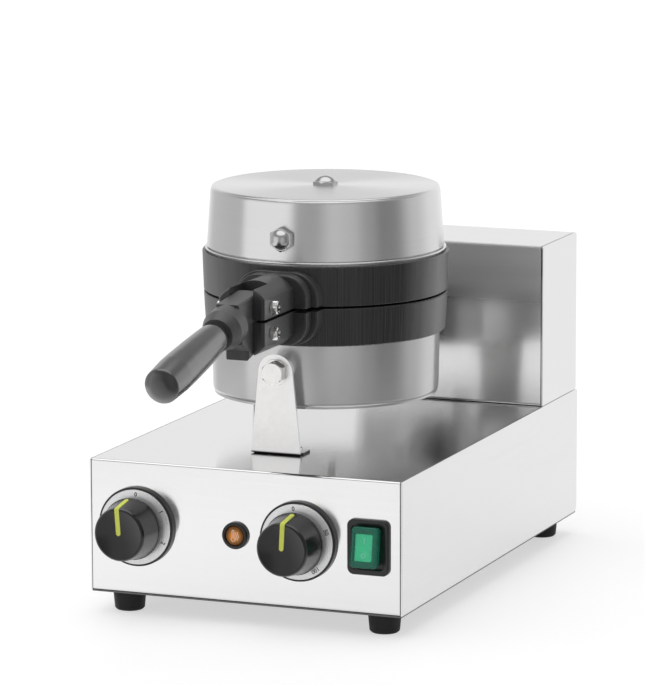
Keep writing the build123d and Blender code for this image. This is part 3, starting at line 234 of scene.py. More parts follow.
def group_shell(name, inputs, *outputs):
    """An empty node group, and the sockets inside it for its inputs and outputs."""
    tree = bpy.data.node_groups.new(name, "ShaderNodeTree")
    for label, value in inputs.items():
        socket = tree.interface.new_socket(label, in_out="INPUT", socket_type=socket_kinds[type(value)])
        if value is not None:
            socket.default_value = value
    for label in outputs:
        kind = "NodeSocketColor" if label == "Color" else "NodeSocketFloat"
        tree.interface.new_socket(label, in_out="OUTPUT", socket_type=kind)
    return tree, tree.nodes.new("NodeGroupInput").outputs, tree.nodes.new("NodeGroupOutput").inputs


def contrasted(tree, fine, broad, share, contrast):
    """Fine and broad lines mixed, then spread about the middle by a contrast."""
    mixed = math_node(tree, "MULTIPLY_ADD", fine, share, math_node(tree, "MULTIPLY", broad, 1.0 - share))
    centred = math_node(tree, "SUBTRACT", mixed, 0.5)
    gain = math_node(tree, "MULTIPLY", contrast, 3.0)
    return math_node(tree, "MULTIPLY_ADD", centred, gain, 0.5, clamp=True)


def build_brushed_grain():
    """Fine parallel lines along X of the vector, broken here and there, with faint broad bands."""
    inputs = {"Vector": None, "Line length": 0.012, "Fineness": 1500.0, "Contrast": 1.0}
    tree, start, end = group_shell("Brushed grain", inputs, "Lines")
    stretch = combined(tree, start["Line length"], 1.0, 1.0)
    across = vector_node(tree, "MULTIPLY", start["Vector"], stretch)
    fine = noise_node(tree, across, start["Fineness"], 2.0, 0.7)
    broad = noise_node(tree, across, math_node(tree, "MULTIPLY", start["Fineness"], 0.11), 2.0)
    feed(tree, contrasted(tree, fine, broad, 0.62, start["Contrast"]), end["Lines"])
    return tree


def build_turned_marks():
    """Rings left by a lathe around the Z axis of the vector, closely spaced along radius and height."""
    inputs = {"Vector": None, "Fineness": 1600.0, "Drift": 8.0, "Contrast": 1.0}
    tree, start, end = group_shell("Turned marks", inputs, "Lines")
    radius = vector_node(tree, "LENGTH", flat_part(tree, start["Vector"]))
    parts = parts_of(tree, start["Vector"])
    spread = combined(
        tree,
        math_node(tree, "MULTIPLY", radius, start["Fineness"]),
        math_node(tree, "MULTIPLY", parts["Z"], start["Fineness"]),
        math_node(tree, "MULTIPLY", parts["X"], start["Drift"]),
    )
    fine = noise_node(tree, spread, 1.0, 2.0, 0.7)
    broad = noise_node(tree, spread, 0.09, 2.0)
    feed(tree, contrasted(tree, fine, broad, 0.6, start["Contrast"]), end["Lines"])
    return tree


def build_upright_lines():
    """Fine upright lines around the Z axis of the vector, as on a machined rim."""
    inputs = {"Vector": None, "Fineness": 90.0, "Line length": 12.0}
    tree, start, end = group_shell("Upright lines", inputs, "Lines", "Height")
    around = vector_node(tree, "NORMALIZE", flat_part(tree, start["Vector"]))
    spread = vector_node(tree, "SCALE", around, None, None, start["Fineness"])
    height = math_node(tree, "MULTIPLY", parts_of(tree, start["Vector"])["Z"], start["Line length"])
    place = vector_node(tree, "ADD", spread, combined(tree, 0.0, 0.0, height))
    value = noise_node(tree, place, 1.0, 4.0, 0.75)
    feed(tree, ranged(tree, value, 0.36, 0.66), end["Lines"])
    feed(tree, value, end["Height"])
    return tree


def build_cast_skin():
    """Small pits and swells of a coated casting or a moulded plastic skin."""
    tree, start, end = group_shell("Cast skin", {"Vector": None, "Fineness": 900.0}, "Mottle", "Height")
    values = {"Vector": start["Vector"], "Scale": start["Fineness"]}
    grains = fed_node(tree, "ShaderNodeTexVoronoi", values, feature="SMOOTH_F1").outputs["Distance"]
    swell = noise_node(tree, start["Vector"], math_node(tree, "MULTIPLY", start["Fineness"], 0.07), 4.0)
    feed(tree, ranged(tree, swell, 0.34, 0.68), end["Mottle"])
    feed(tree, math_node(tree, "MULTIPLY_ADD", grains, 0.5, swell), end["Height"])
    return tree


def build_handling():
    """Broad soft cloudiness, as from cleaning and hands, mapped to a low and a high value."""
    inputs = {"Vector": None, "Size": 14.0, "Low": 0.2, "High": 0.3}
    tree, start, end = group_shell("Handling", inputs, "Value")
    cloud = noise_node(tree, start["Vector"], start["Size"], 5.0, 0.55)
    feed(tree, ranged(tree, cloud, 0.3, 0.7, start["Low"], start["High"]), end["Value"])
    return tree


def build_two_tone():
    """One colour turning into another by a mask."""
    grey = (0.5, 0.5, 0.5, 1.0)
    tree, start, end = group_shell("Two tone", {"Mask": 0.5, "First": grey, "Second": grey}, "Color")
    feed(tree, colour_mix(tree, start["Mask"], start["First"], start["Second"]), end["Color"])
    return tree


group_builders = {
    "Brushed grain": build_brushed_grain, "Turned marks": build_turned_marks, "Cast skin": build_cast_skin,
    "Upright lines": build_upright_lines, "Handling": build_handling, "Two tone": build_two_tone,
}


# Finishes
def shade(colour, factor):
    return tuple(min(1.0, part * factor) for part in colour)


class Finish:
    """A material under construction, with its shader and the coordinates that its patterns read."""

    def __init__(self, name, colour, roughness, metallic=0.0, centre=(0.0, 0.0, 0.0), turn=(0.0, 0.0, 0.0)):
        self.material = bpy.data.materials.new(name)
        self.material.use_nodes = True
        self.tree = self.material.node_tree
        self.tree.nodes.clear()
        self.end = self.tree.nodes.new("ShaderNodeOutputMaterial")
        self.shader = self.tree.nodes.new("ShaderNodeBsdfPrincipled")
        self.feed(self.shader.outputs[0], self.end.inputs["Surface"])
        self.set("Base Color", (*colour, 1.0))
        self.set("Roughness", roughness)
        self.set("Metallic", metallic)
        place = self.tree.nodes.new("ShaderNodeTexCoord").outputs["Object"]
        values = {"Vector": place, "Location": centre, "Rotation": turn}
        mapping = fed_node(self.tree, "ShaderNodeMapping", values, vector_type="TEXTURE")
        self.vector = mapping.outputs["Vector"]

    def feed(self, value, socket):
        feed(self.tree, value, socket)

    def set(self, label, value):
        """Feeds one of the shader's inputs."""
        self.feed(value, self.shader.inputs[label])

    def glow(self, strength, colour=(1.0, 1.0, 1.0)):
        self.set("Emission Color", (*colour, 1.0))
        self.set("Emission Strength", strength)

    def group(self, name, **values):
        """Places a shared group, built the first time it is asked for; underscores stand for spaces."""
        node = self.tree.nodes.new("ShaderNodeGroup")
        node.node_tree = bpy.data.node_groups.get(name) or group_builders[name]()
        for label, value in values.items():
            self.feed(value, node.inputs[label.replace("_", " ")])
        if "Vector" in node.inputs:
            self.feed(self.vector, node.inputs["Vector"])
        return node.outputs

    def tint(self, mask, tone, low, high):
        """Base colour by a mask, from a low to a high share of a tone; a share can be a colour instead."""
        first, second = (part if isinstance(part, tuple) else shade(tone, part) for part in (low, high))
        tones = self.group("Two tone", Mask=mask, First=(*first, 1.0), Second=(*second, 1.0))
        self.set("Base Color", tones["Color"])

    def relief(self, height, strength, distance):
        values = {"Height": height, "Strength": strength, "Distance": distance}
        self.set("Normal", fed_node(self.tree, "ShaderNodeBump", values).outputs["Normal"])

    def grain_along(self, tangent, amount):
        """Blurs reflections across a grain that follows a tangent."""
        self.set("Anisotropic", amount)
        self.set("Anisotropic Rotation", 0.25)
        self.set("Tangent", tangent)

    def edge_gloss(self, index, start, end):
        """Lets the skin mirror more at a glancing view than a plain plastic does."""
        facing = fed_node(self.tree, "ShaderNodeLayerWeight", {"Blend": 0.5}).outputs["Facing"]
        self.set("IOR", ranged(self.tree, facing, start, end, 1.45, index))

    def between(self, mask, low, high):
        """Roughness that follows a mask from low to high."""
        self.set("Roughness", ranged(self.tree, mask, 0.0, 1.0, low, high))


def mottled_finish(
    name, tone, tints, rough, skin=None, cloud=None, relief=None, gloss=None, glow=0.0, **more
):
    """Finish that a cast skin or a cloud of handling varies; tone can be the name of one of the colours."""
    if isinstance(tone, str):
        tone = getattr(colours(), tone)
    varied = isinstance(rough, tuple)
    finish = Finish(name, tone, rough[0] if varied else rough)
    if cloud:
        mask = finish.group("Handling", Size=cloud, Low=rough[0], High=rough[1])["Value"]
        finish.set("Roughness", mask)
    if skin:
        pattern = finish.group("Cast skin", Fineness=skin)
        mask = pattern["Mottle"]
        if varied and not cloud:
            finish.between(mask, *rough)
        if relief:
            finish.relief(pattern["Height"], *relief)
    finish.tint(mask, tone, *tints)
    if gloss:
        finish.edge_gloss(*gloss)
    if glow:
        finish.glow(glow, tone)
    for label, value in more.items():
        finish.set(label.replace("_", " "), value)
    return finish.material


def sheet_finish(name, turn, direction, rough, factor=1.0, blur=None):
    """Brushed sheet whose grain runs along a direction; the column's front is blurred more near its top."""
    # A factor above one makes a lighter copy of the same steel, which is painted light.
    tone = shade(colours().cabinet, factor)
    finish = Finish(name, tone, rough, 1.0, turn=turn)
    finish.grain_along(combined(finish.tree, *direction), 0.9)
    lines = finish.group("Brushed grain", Line_length=0.010, Fineness=1900.0, Contrast=1.0)["Lines"]
    finish.tint(lines, tone, 0.985, 1.015)
    if blur:
        fade = 0.001
        blur_low = 0.185
        blur_high = 0.240
        place = parts_of(finish.tree, finish.vector)
        near = column_front_y + fade / 2
        added = ranged(finish.tree, place["Y"], near, near + fade, blur - rough, 0.0)
        high_up = ranged(finish.tree, place["Z"], blur_low, blur_high, smooth=True)
        finish.set("Roughness", math_node(finish.tree, "MULTIPLY_ADD", high_up, added, rough))
    else:
        finish.between(lines, rough * 0.95, rough * 1.05)
    return finish.material


def housing_finish(name, factor):
    """Spun sheet whose grain runs around the upright axis."""
    # A factor below one makes a darker copy of the same steel, which is painted shade.
    tone = shade(colours().housing, factor)
    finish = Finish(name, tone, 0.27, 1.0, centre=(0.0, cook_y, 0.0))
    marks = finish.group("Turned marks", Fineness=2200.0, Drift=6.0, Contrast=0.9)
    finish.tint(marks["Lines"], tone, 0.98, 1.02)
    finish.set("Roughness", finish.group("Handling", Size=16.0, Low=0.22, High=0.25)["Value"])
    tangent = fed_node(finish.tree, "ShaderNodeTangent", (), direction_type="RADIAL", axis="Z")
    finish.grain_along(tangent.outputs[0], 0.8)
    return finish.material


def bracket_finish(name):
    """Satin plate with a painted contact shadow along the front edge of its foot and a faint painted glow
    above it.
    """
    tone = (0.95, 0.945, 0.935)
    finish = Finish(name, tone, 0.32, 0.9)
    skin = finish.group("Cast skin", Fineness=1400.0)
    # Painted contact shadow: below this height, at the front edge of the foot, the colour drops to almost
    # black.
    edge = bracket_seat_z + 0.0014
    fade = 0.0004
    above = ranged(finish.tree, parts_of(finish.tree, finish.vector)["Z"], edge, edge + fade)
    share = math_node(finish.tree, "MULTIPLY_ADD", skin["Mottle"], 0.12, 0.88)
    finish.tint(math_node(finish.tree, "MULTIPLY", above, share), tone, 0.04, 0.90)
    # Painted light: a faint white glow over the whole plate above the painted shadow.
    finish.glow(math_node(finish.tree, "MULTIPLY", above, 0.10))
    finish.between(skin["Mottle"], 0.28, 0.36)
    finish.relief(skin["Height"], 0.06, 0.0002)
    return finish.material


def plate_finish(name):
    """Coated casting, with upright lines on its turned rim only."""
    tone = colours().plate
    finish = Finish(name, tone, 0.5, centre=(0.0, cook_y, 0.0))
    lines = finish.group("Upright lines", Fineness=150.0, Line_length=8.0)
    reach = vector_node(finish.tree, "LENGTH", flat_part(finish.tree, finish.vector))
    rim_r = span("upper_plate").x / 2 * MM + 0.0005
    fade = 0.0015
    on_rim = ranged(finish.tree, reach, rim_r, rim_r + fade, 1.0, 0.0)
    centred = math_node(finish.tree, "SUBTRACT", lines["Lines"], 0.5)
    mask = math_node(finish.tree, "MULTIPLY_ADD", centred, on_rim, 0.5)
    finish.tint(mask, tone, 0.3, 2.4)
    finish.between(mask, 0.28, 0.5)
    finish.edge_gloss(2.5, 0.22, 0.62)
    finish.relief(math_node(finish.tree, "MULTIPLY", lines["Height"], on_rim), 0.30, 0.0003)
    return finish.material


def dial_finish(name, control):
    """Turned metal dial whose grain runs around the middle of one control."""
    tone = (0.90, 0.905, 0.91)
    centre = tuple(middle(control + "_dial"))
    finish = Finish(name, tone, 0.3, 0.62, centre=centre, turn=(pi / 2, 0.0, 0.0))
    lines = finish.group("Turned marks", Fineness=2600.0, Drift=3.0, Contrast=1.0)["Lines"]
    finish.tint(lines, tone, 0.9, 1.08)
    finish.between(lines, 0.24, 0.34)
    place = finish.tree.nodes.new("ShaderNodeTexCoord").outputs["Object"]
    offset = vector_node(finish.tree, "SUBTRACT", place, centre)
    finish.grain_along(vector_node(finish.tree, "CROSS_PRODUCT", offset, to_front), 0.9)
    return finish.material


def clear_green(name, tone, weight):
    """Clear green plastic, tinted more where less light goes through."""
    finish = Finish(name, tone, 0.12)
    cloud = finish.group("Handling", Size=140.0, Low=0.0, High=1.0)["Value"]
    finish.tint(cloud, tone, 0.95, 1.05)
    finish.between(cloud, 0.08, 0.16)
    finish.set("Transmission Weight", weight)
    finish.set("IOR", 1.35)
    return finish.material


def lens_finish(name):
    """Amber lens, lit from behind its middle."""
    tone = colours().amber
    finish = Finish(name, tone, 0.12, centre=tuple(middle("pilot_lens")))
    facets = finish.group("Cast skin", Fineness=900.0)
    distance = vector_node(finish.tree, "LENGTH", finish.vector)
    lamp_r = 0.0015
    dark_r = 0.0068
    glow = ranged(finish.tree, distance, lamp_r, dark_r, 1.0, 0.0, smooth=True)
    lit = math_node(finish.tree, "MULTIPLY", glow, 0.7)
    mask = math_node(finish.tree, "MULTIPLY_ADD", facets["Mottle"], 0.35, lit)
    finish.tint(mask, tone, 0.10, (0.98, 0.36, 0.03))
    finish.glow(math_node(finish.tree, "MULTIPLY", glow, 0.30), tone)
    finish.between(facets["Mottle"], 0.1, 0.2)
    finish.relief(facets["Height"], 0.3, 0.0004)
    for label, value in (("Specular IOR Level", 0.3), ("Transmission Weight", 0.1), ("IOR", 1.49)):
        finish.set(label, value)
    return finish.material


mottled = {
    # Painted shade: the bottom plate is made dark so that its edge under the front panel reads as a shadow
    # line.
    "Underside steel": dict(tone=(0.16, 0.16, 0.16), tints=(0.9, 1.1), rough=(0.45, 0.55), skin=1400.0,
                            Metallic=0.6),
    "Lever black": dict(tone="lever", tints=(0.8, 1.3), rough=(0.36, 0.46), skin=1100.0,
                        relief=(0.10, 0.0003), gloss=(2.1, 0.15, 0.65)),
    "Grip black": dict(tone="grip", tints=(1.1, 1.5), rough=(0.14, 0.22), cloud=30.0,
                       gloss=(2.8, 0.05, 0.55)),
    "Black plastic": dict(tone="plastic", tints=(0.85, 1.2), rough=(0.3, 0.36), skin=2600.0),
    "Knob black": dict(tone="plastic", tints=(0.72, 0.92), rough=(0.20, 0.24), skin=3000.0,
                       gloss=(2.2, 0.12, 0.6)),
    "Foot rubber": dict(tone=(0.02, 0.02, 0.02), tints=(0.5, 1.0), rough=(0.5, 0.7), skin=1800.0,
                        relief=(0.12, 0.0002), Specular_IOR_Level=0.3),
    "Pointer green": dict(tone="pointer", tints=(0.92, 1.05), rough=0.45, skin=2400.0),
    "Dial print": dict(tone=(0.03, 0.03, 0.032), tints=((0.025, 0.025, 0.027), (0.05, 0.05, 0.052)),
                       rough=0.5, skin=3000.0),
    "Switch print": dict(tone=(0.85, 0.88, 0.86), tints=((0.80, 0.84, 0.82), (0.88, 0.90, 0.89)),
                         rough=0.4, skin=3000.0),
    "Lens mark": dict(tone=(0.95, 0.80, 0.66), tints=((0.92, 0.76, 0.62), (0.96, 0.84, 0.72)),
                      rough=0.4, skin=3000.0),
    "Bright plating": dict(tone="chrome", tints=(0.94, 1.04), rough=(0.08, 0.14), cloud=260.0, skin=1500.0,
                           Metallic=1.0),
    # Painted shade: a darker copy of the bright plating that dims the reflections on the lid's two nuts.
    "Cap nut plating": dict(tone=(0.60, 0.60, 0.60), tints=(0.9, 1.1), rough=(0.16, 0.26), cloud=160.0,
                            Metallic=1.0),
    "Heater tube": dict(tone=(0.22, 0.20, 0.18), tints=((0.16, 0.15, 0.14), (0.30, 0.27, 0.23)),
                        rough=(0.38, 0.55), cloud=60.0, Metallic=0.9),
    "Control body": dict(tone=(0.62, 0.60, 0.55), tints=((0.55, 0.53, 0.49), (0.66, 0.64, 0.60)),
                         rough=0.5, skin=900.0),
    "Rocker green": dict(tone="green", tints=(0.9, 1.12), rough=0.32, skin=1200.0, glow=0.35),
}
made_finishes = {
    "Cabinet steel": (sheet_finish, (0.0, 0.0, 0.0), to_right, 0.11),
    "Column steel": (sheet_finish, (0.0, 0.0, 0.0), to_right, 0.12, 1.0, 0.80),
    "Side steel": (sheet_finish, (0.0, 0.0, pi / 2), to_back, 0.15),
    # Painted light: the column sides are a 3% lighter copy of the sheet steel.
    "Column side steel": (sheet_finish, (0.0, pi / 2, 0.0), up, 0.15, 1.03),
    "Housing steel": (housing_finish, 1.0),
    # Painted shade: the lower housing is a darker copy of the lid's spun steel.
    "Lower housing steel": (housing_finish, 0.82),
    "Bracket steel": (bracket_finish,),
    "Plate black": (plate_finish,),
    "Timer dial silver": (dial_finish, "timer"),
    "Thermostat dial silver": (dial_finish, "thermostat"),
    "Cap green": (clear_green, (0.035, 0.30, 0.20), 0.55),
    "Pane green": (clear_green, (0.55, 0.93, 0.80), 0.95),
    "Lens amber": (lens_finish,),
}


def finish_named(name):
    """The material of this name, made the first time it is asked for."""
    known = bpy.data.materials.get(name)
    if known:
        return known
    if name in mottled:
        return mottled_finish(name, **mottled[name])
    make, *values = made_finishes[name]
    return make(name, *values)


# Objects
def in_scene(name, data):
    thing = bpy.data.objects.new(name, data)
    bpy.context.scene.collection.objects.link(thing)
    return thing


def plain_mesh(thing, *helpers):
    """Mesh that an object's modifiers or letters make; the object and its helpers are used up."""
    bpy.context.view_layer.update()
    graph = bpy.context.evaluated_depsgraph_get()
    mesh = bpy.data.meshes.new_from_object(thing.evaluated_get(graph))
    for part in (thing, *helpers):
        data = part.data
        bpy.data.objects.remove(part)
        bpy.data.batch_remove((data,))
    return mesh


def mesh_from(shape):
    """Mesh of a bmesh, which is used up."""
    mesh = bpy.data.meshes.new("shape")
    shape.to_mesh(mesh)
    shape.free()
    return mesh


def smoothed(mesh, smooth_angle):
    """Smooth mesh, but for its sharp edges."""
    mesh.shade_smooth()
    mesh.set_sharp_from_angle(angle=radians(smooth_angle))
    return mesh


def piece(name, mesh, finish, body, slot, *replaces):
    """An object for this mesh, with its finish, riding on a body."""
    thing = in_scene(name, mesh)
    mesh.name = name
    mesh.materials.clear()
    mesh.materials.append(finish_named(finish))
    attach(thing, body)
    if replaces:
        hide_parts(*replaces)


def refinish(finish, *nodes):
    """Gives CAD nodes that stay as they are a better finish."""
    for node in nodes:
        for slot in frame["nodes"][node].material_slots:
            slot.material = finish_named(finish)


def eased_copy(node, width):
    """Welded copy of a node's mesh with its sharp edges rounded."""
    weld_gap = 2e-6
    flat_angle = radians(0.5)
    sharp_angle = radians(30)
    shape = bmesh.new()
    shape.from_mesh(frame["nodes"][node].data)
    bmesh.ops.remove_doubles(shape, verts=shape.verts, dist=weld_gap)
    bmesh.ops.dissolve_limit(shape, angle_limit=flat_angle, verts=shape.verts, edges=shape.edges)
    mesh = mesh_from(shape)
    mesh.shade_smooth()
    thing = in_scene("bevelling", mesh)
    bevel = thing.modifiers.new("Eased edges", "BEVEL")
    bevel.width = width
    bevel.segments = 2
    bevel.limit_method = "ANGLE"
    bevel.angle_limit = sharp_angle
    bevel.use_clamp_overlap = True
    even = thing.modifiers.new("Flat faces stay flat", "WEIGHTED_NORMAL")
    even.mode = "FACE_AREA"
    even.weight = 100
    even.keep_sharp = True
    return plain_mesh(thing)


def cut(mesh, cutter_mesh):
    """Mesh with another one cut out of it; both are used up."""
    thing = in_scene("cutting", mesh)
    tool = in_scene("cutter", cutter_mesh)
    step = thing.modifiers.new("Cut", "BOOLEAN")
    step.operation = "DIFFERENCE"
    step.solver = "EXACT"
    step.use_self = True
    step.object = tool
    return smoothed(plain_mesh(thing, tool), 32.0)


# Outlines, in millimetres. A place is a matrix from their plane to the frame, in metres
def placed(origin, x_dir, z_dir):
    """Matrix whose X and Z follow these directions, with millimetres turned into metres."""
    along = Vector(x_dir).normalized()
    out = Vector(z_dir).normalized()
    turn = Matrix((along, out.cross(along), out)).transposed().to_4x4()
    return Matrix.Translation(Vector(origin)) @ turn @ Matrix.Scale(MM, 4)


def facing_front(x, z, lean=0.0):
    """Place on the front panel, with X to the right and Z out of the panel."""
    return placed((x, front_y, z), (cos(lean), 0.0, -sin(lean)), to_front)


def shifted(place, x, y, z):
    return place @ Matrix.Translation((x, y, z))


unit_place = Matrix.Scale(MM, 4)


def rounded_path(points, steps=5):
    """Points (a, b) or (a, b, radius), with each corner that has a radius turned into an arc."""
    path = []
    for index, point in enumerate(points):
        corner = Vector(point[:2])
        radius = point[2] if len(point) > 2 else 0.0
        if radius <= 0.0 or index in (0, len(points) - 1):
            path.append(tuple(corner))
            continue
        before = (Vector(points[index - 1][:2]) - corner).normalized()
        after = (Vector(points[index + 1][:2]) - corner).normalized()
        half = before.angle(after) / 2
        reach = radius / tan(half)
        centre = corner + (before + after).normalized() * (radius / sin(half))
        first = corner + before * reach - centre
        sweep = first.angle_signed(corner + after * reach - centre)
        for step in range(steps + 1):
            path.append(tuple(centre + Matrix.Rotation(-sweep * step / steps, 2) @ first))
    return path


def lofted(rings, place, loop=False, smooth_angle=32.0, closed=False):
    """Mesh through rings of points; a ring of one point is a pole, and closed ends get a face."""
    shape = bmesh.new()
    rows = [[shape.verts.new(place @ Vector(point)) for point in ring] for ring in rings]
    pairs = list(zip(rows[:-1], rows[1:]))
    if loop:
        pairs.append((rows[-1], rows[0]))
    for low, high in pairs:
        count = max(len(low), len(high))
        if count == 1:
            continue
        for step in range(count):
            nearby = (step + 1) % count
            if len(low) == 1:
                shape.faces.new((low[0], high[nearby], high[step]))
            elif len(high) == 1:
                shape.faces.new((low[step], low[nearby], high[0]))
            else:
                shape.faces.new((low[step], low[nearby], high[nearby], high[step]))
    if closed:
        shape.faces.new(rows[0])
        shape.faces.new(rows[-1])
    bmesh.ops.remove_doubles(shape, verts=shape.verts, dist=1e-7)
    bmesh.ops.recalc_face_normals(shape, faces=shape.faces)
    return smoothed(mesh_from(shape), smooth_angle)


def ring_at(radius, height, segments):
    """Ring around the Z axis, or a pole where the radius is nothing."""
    if radius < 1e-6:
        return [(0.0, 0.0, height)]
    angles = [2 * pi * step / segments for step in range(segments)]
    return [(radius * cos(angle), radius * sin(angle), height) for angle in angles]


def turned(profile, place, segments, loop=False, smooth_angle=32.0, steps=5):
    """Mesh turned around the Z axis of its place from (radius, height) points."""
    rings = [ring_at(radius, height, segments) for radius, height in rounded_path(profile, steps)]
    return lofted(rings, place, loop=loop, smooth_angle=smooth_angle)


def hex_ring(flats, height, segments, crown=None):
    """Ring around a hexagon; with a crown radius, its corners fall away as they do under a chamfer."""
    chamfer = tan(radians(30))
    ring = []
    for step in range(segments):
        angle = 2 * pi * step / segments
        within = (angle + pi / 6) % (pi / 3) - pi / 6
        radius = flats / 2 / cos(within)
        fall = max(0.0, radius - crown) * chamfer if crown else 0.0
        ring.append((radius * cos(angle), radius * sin(angle), height - fall))
    return ring


def dome_rings(high, dome_r, top, crown, segments):
    """Rings of a round cap of a given radius and top height, from the crown of a hexagon up to its pole."""
    neck_r = crown * 0.97
    centre = top - dome_r
    start = sqrt(max(0.0, dome_r ** 2 - (high - centre) ** 2)) if high > centre else dome_r
    rings = [ring_at(min(start, neck_r), high, segments)]
    rise = atan2(high - centre, start) if high > centre else 0.0
    if high < centre:
        rings.append(ring_at(start, centre, segments))
    steps = 14
    for step in range(1, steps):
        angle = rise + (pi / 2 - rise) * step / steps
        rings.append(ring_at(dome_r * cos(angle), centre + dome_r * sin(angle), segments))
    return rings + [[(0.0, 0.0, top)]]


def hex_solid(flats, low, high, place, segments=96, dome=None, chamfer_low=False):
    """Hexagon with chamfered corners; a dome gives (radius, top height) of a round cap above it."""
    crown = flats / 2 * 0.99
    rings = [[(0.0, 0.0, low)]]
    if chamfer_low:
        rings.append(ring_at(crown, low, segments))
        rings.append([(x, y, 2 * low - z) for x, y, z in hex_ring(flats, low, segments, crown)])
    else:
        rings.append(hex_ring(flats, low, segments))
    rings += [hex_ring(flats, high, segments, crown), ring_at(crown, high, segments)]
    rings += dome_rings(high, *dome, crown, segments) if dome else [[(0.0, 0.0, high)]]
    return lofted(rings, place, smooth_angle=24.0)


def rounded_rect(width, height, corner, depth, steps=6):
    """Ring around a rectangle with round corners."""
    ring = []
    for side_x, side_y, start in ((1, 1, 0.0), (-1, 1, pi / 2), (-1, -1, pi), (1, -1, 3 * pi / 2)):
        middle_x = side_x * (width / 2 - corner)
        middle_y = side_y * (height / 2 - corner)
        for step in range(steps + 1):
            angle = start + pi / 2 * step / steps
            ring.append((middle_x + corner * cos(angle), middle_y + corner * sin(angle), depth))
    return ring


def joined(*meshes):
    """One mesh from several, each of which is used up."""
    shape = bmesh.new()
    for mesh in meshes:
        shape.from_mesh(mesh)
        bpy.data.meshes.remove(mesh)
    return mesh_from(shape)


def lettered(text, height, place, depth):
    """Text as a thin mesh, centred on its place."""
    size_per_height = 1.42
    boldness = 0.028
    letters = bpy.data.curves.new("letters", "FONT")
    letters.body = text
    letters.size = height * size_per_height
    letters.align_x = "CENTER"
    letters.align_y = "CENTER"
    letters.extrude = depth / 2
    letters.offset = height * boldness
    letters.resolution_u = 4
    mesh = plain_mesh(in_scene("letters", letters))
    mesh.transform(shifted(place, 0.0, 0.0, depth / 2))
    return mesh


# Geometry nodes
def build_scatter_tree():
    """Puts a copy of one shape on each point, turned along the point's facing, as one mesh."""
    tree = bpy.data.node_groups.new("Set of fixings", "GeometryNodeTree")
    inputs = {"Points": "Geometry", "Shape": "Object", "Size": "Float", "Turn": "Float", "Finish": "Material"}
    for label, kind in inputs.items():
        tree.interface.new_socket(label, in_out="INPUT", socket_type="NodeSocket" + kind)
    tree.interface.new_socket("Geometry", in_out="OUTPUT", socket_type="NodeSocketGeometry")
    start = tree.nodes.new("NodeGroupInput").outputs
    end = tree.nodes.new("NodeGroupOutput").inputs

    def attribute(name, kind):
        return fed_node(tree, "GeometryNodeInputNamedAttribute", {"Name": name}, data_type=kind).outputs[0]

    shape = fed_node(tree, "GeometryNodeObjectInfo", {"Object": start["Shape"], "As Instance": True})
    facing = {"Vector": attribute("facing", "FLOAT_VECTOR")}
    align = fed_node(tree, "FunctionNodeAlignRotationToVector", facing, axis="Z")
    angle = math_node(tree, "ADD", attribute("spin", "FLOAT"), start["Turn"])
    about = fed_node(tree, "FunctionNodeAxisAngleToRotation", {"Axis": up, "Angle": angle})
    turns = {"Rotation": align.outputs["Rotation"], "Rotate By": about.outputs["Rotation"]}
    rotate = fed_node(tree, "FunctionNodeRotateRotation", turns, rotation_space="LOCAL")
    copies = fed_node(tree, "GeometryNodeInstanceOnPoints", {
        "Points": start["Points"], "Instance": shape.outputs["Geometry"],
        "Rotation": rotate.outputs["Rotation"], "Scale": start["Size"],
    })
    real = fed_node(tree, "GeometryNodeRealizeInstances", {"Geometry": copies.outputs["Instances"]})
    coat = {"Geometry": real.outputs["Geometry"], "Material": start["Finish"]}
    feed(tree, fed_node(tree, "GeometryNodeSetMaterial", coat).outputs["Geometry"], end["Geometry"])
    return tree


def set_of(name, shape_mesh, spots, finish):
    """Mesh of copies of a shape at spots (place, direction, spin), made by the scatter tree."""
    shape = in_scene("shape_" + name, shape_mesh)
    cloud = bpy.data.meshes.new(name)
    cloud.from_pydata([spot[0] for spot in spots], [], [])
    cloud.attributes.new("facing", "FLOAT_VECTOR", "POINT")
    cloud.attributes.new("spin", "FLOAT", "POINT")
    for index, (_, direction, angle) in enumerate(spots):
        cloud.attributes["facing"].data[index].vector = direction
        cloud.attributes["spin"].data[index].value = angle
    holder = in_scene(name, cloud)
    nodes = holder.modifiers.new("Set of fixings", "NODES")
    nodes.node_group = bpy.data.node_groups.get("Set of fixings") or build_scatter_tree()
    tree = nodes.node_group.interface.items_tree
    sockets = {item.name: item.identifier for item in tree if item.in_out == "INPUT"}
    for label, value in (("Shape", shape), ("Size", 1.0), ("Turn", 0.0), ("Finish", finish_named(finish))):
        nodes[sockets[label]] = value
    result = plain_mesh(holder, shape)
    for label in ("facing", "spin"):
        if label in result.attributes:
            result.attributes.remove(result.attributes[label])
    return result


def pan_head(shank, head_r, head, length):
    """Pan head screw with a cross recess, head up, its seat at zero height."""
    profile = [
        (0.0, -length), (shank * 0.7, -length), (shank, -length + shank * 0.4), (shank, 0.0), (head_r, 0.0),
        (head_r, head * 0.35, head * 0.1), (head_r * 0.86, head * 0.9, head * 0.5), (head_r * 0.42, head),
        (0.0, head),
    ]
    body = turned(profile, unit_place, 48, smooth_angle=40.0)
    narrow = 0.32 * head_r
    wide = 1.16 * head_r
    foot = 0.45 * head
    foot_share = 0.55
    above = head + 1.0
    cross = bmesh.new()
    for x_size, y_size in ((wide, narrow), (narrow, wide)):
        for vert in bmesh.ops.create_cube(cross, size=1.0)["verts"]:
            share, height = (1.0, above) if vert.co.z > 0 else (foot_share, foot)
            vert.co = Vector((vert.co.x * x_size * share, vert.co.y * y_size * share, height)) * MM
    return cut(body, mesh_from(cross))


# Operators: one for each group of like pieces
class PressOperator(bpy.types.Operator):
    """Base of the operators, which can be undone."""

    bl_options = {"REGISTER", "UNDO"}


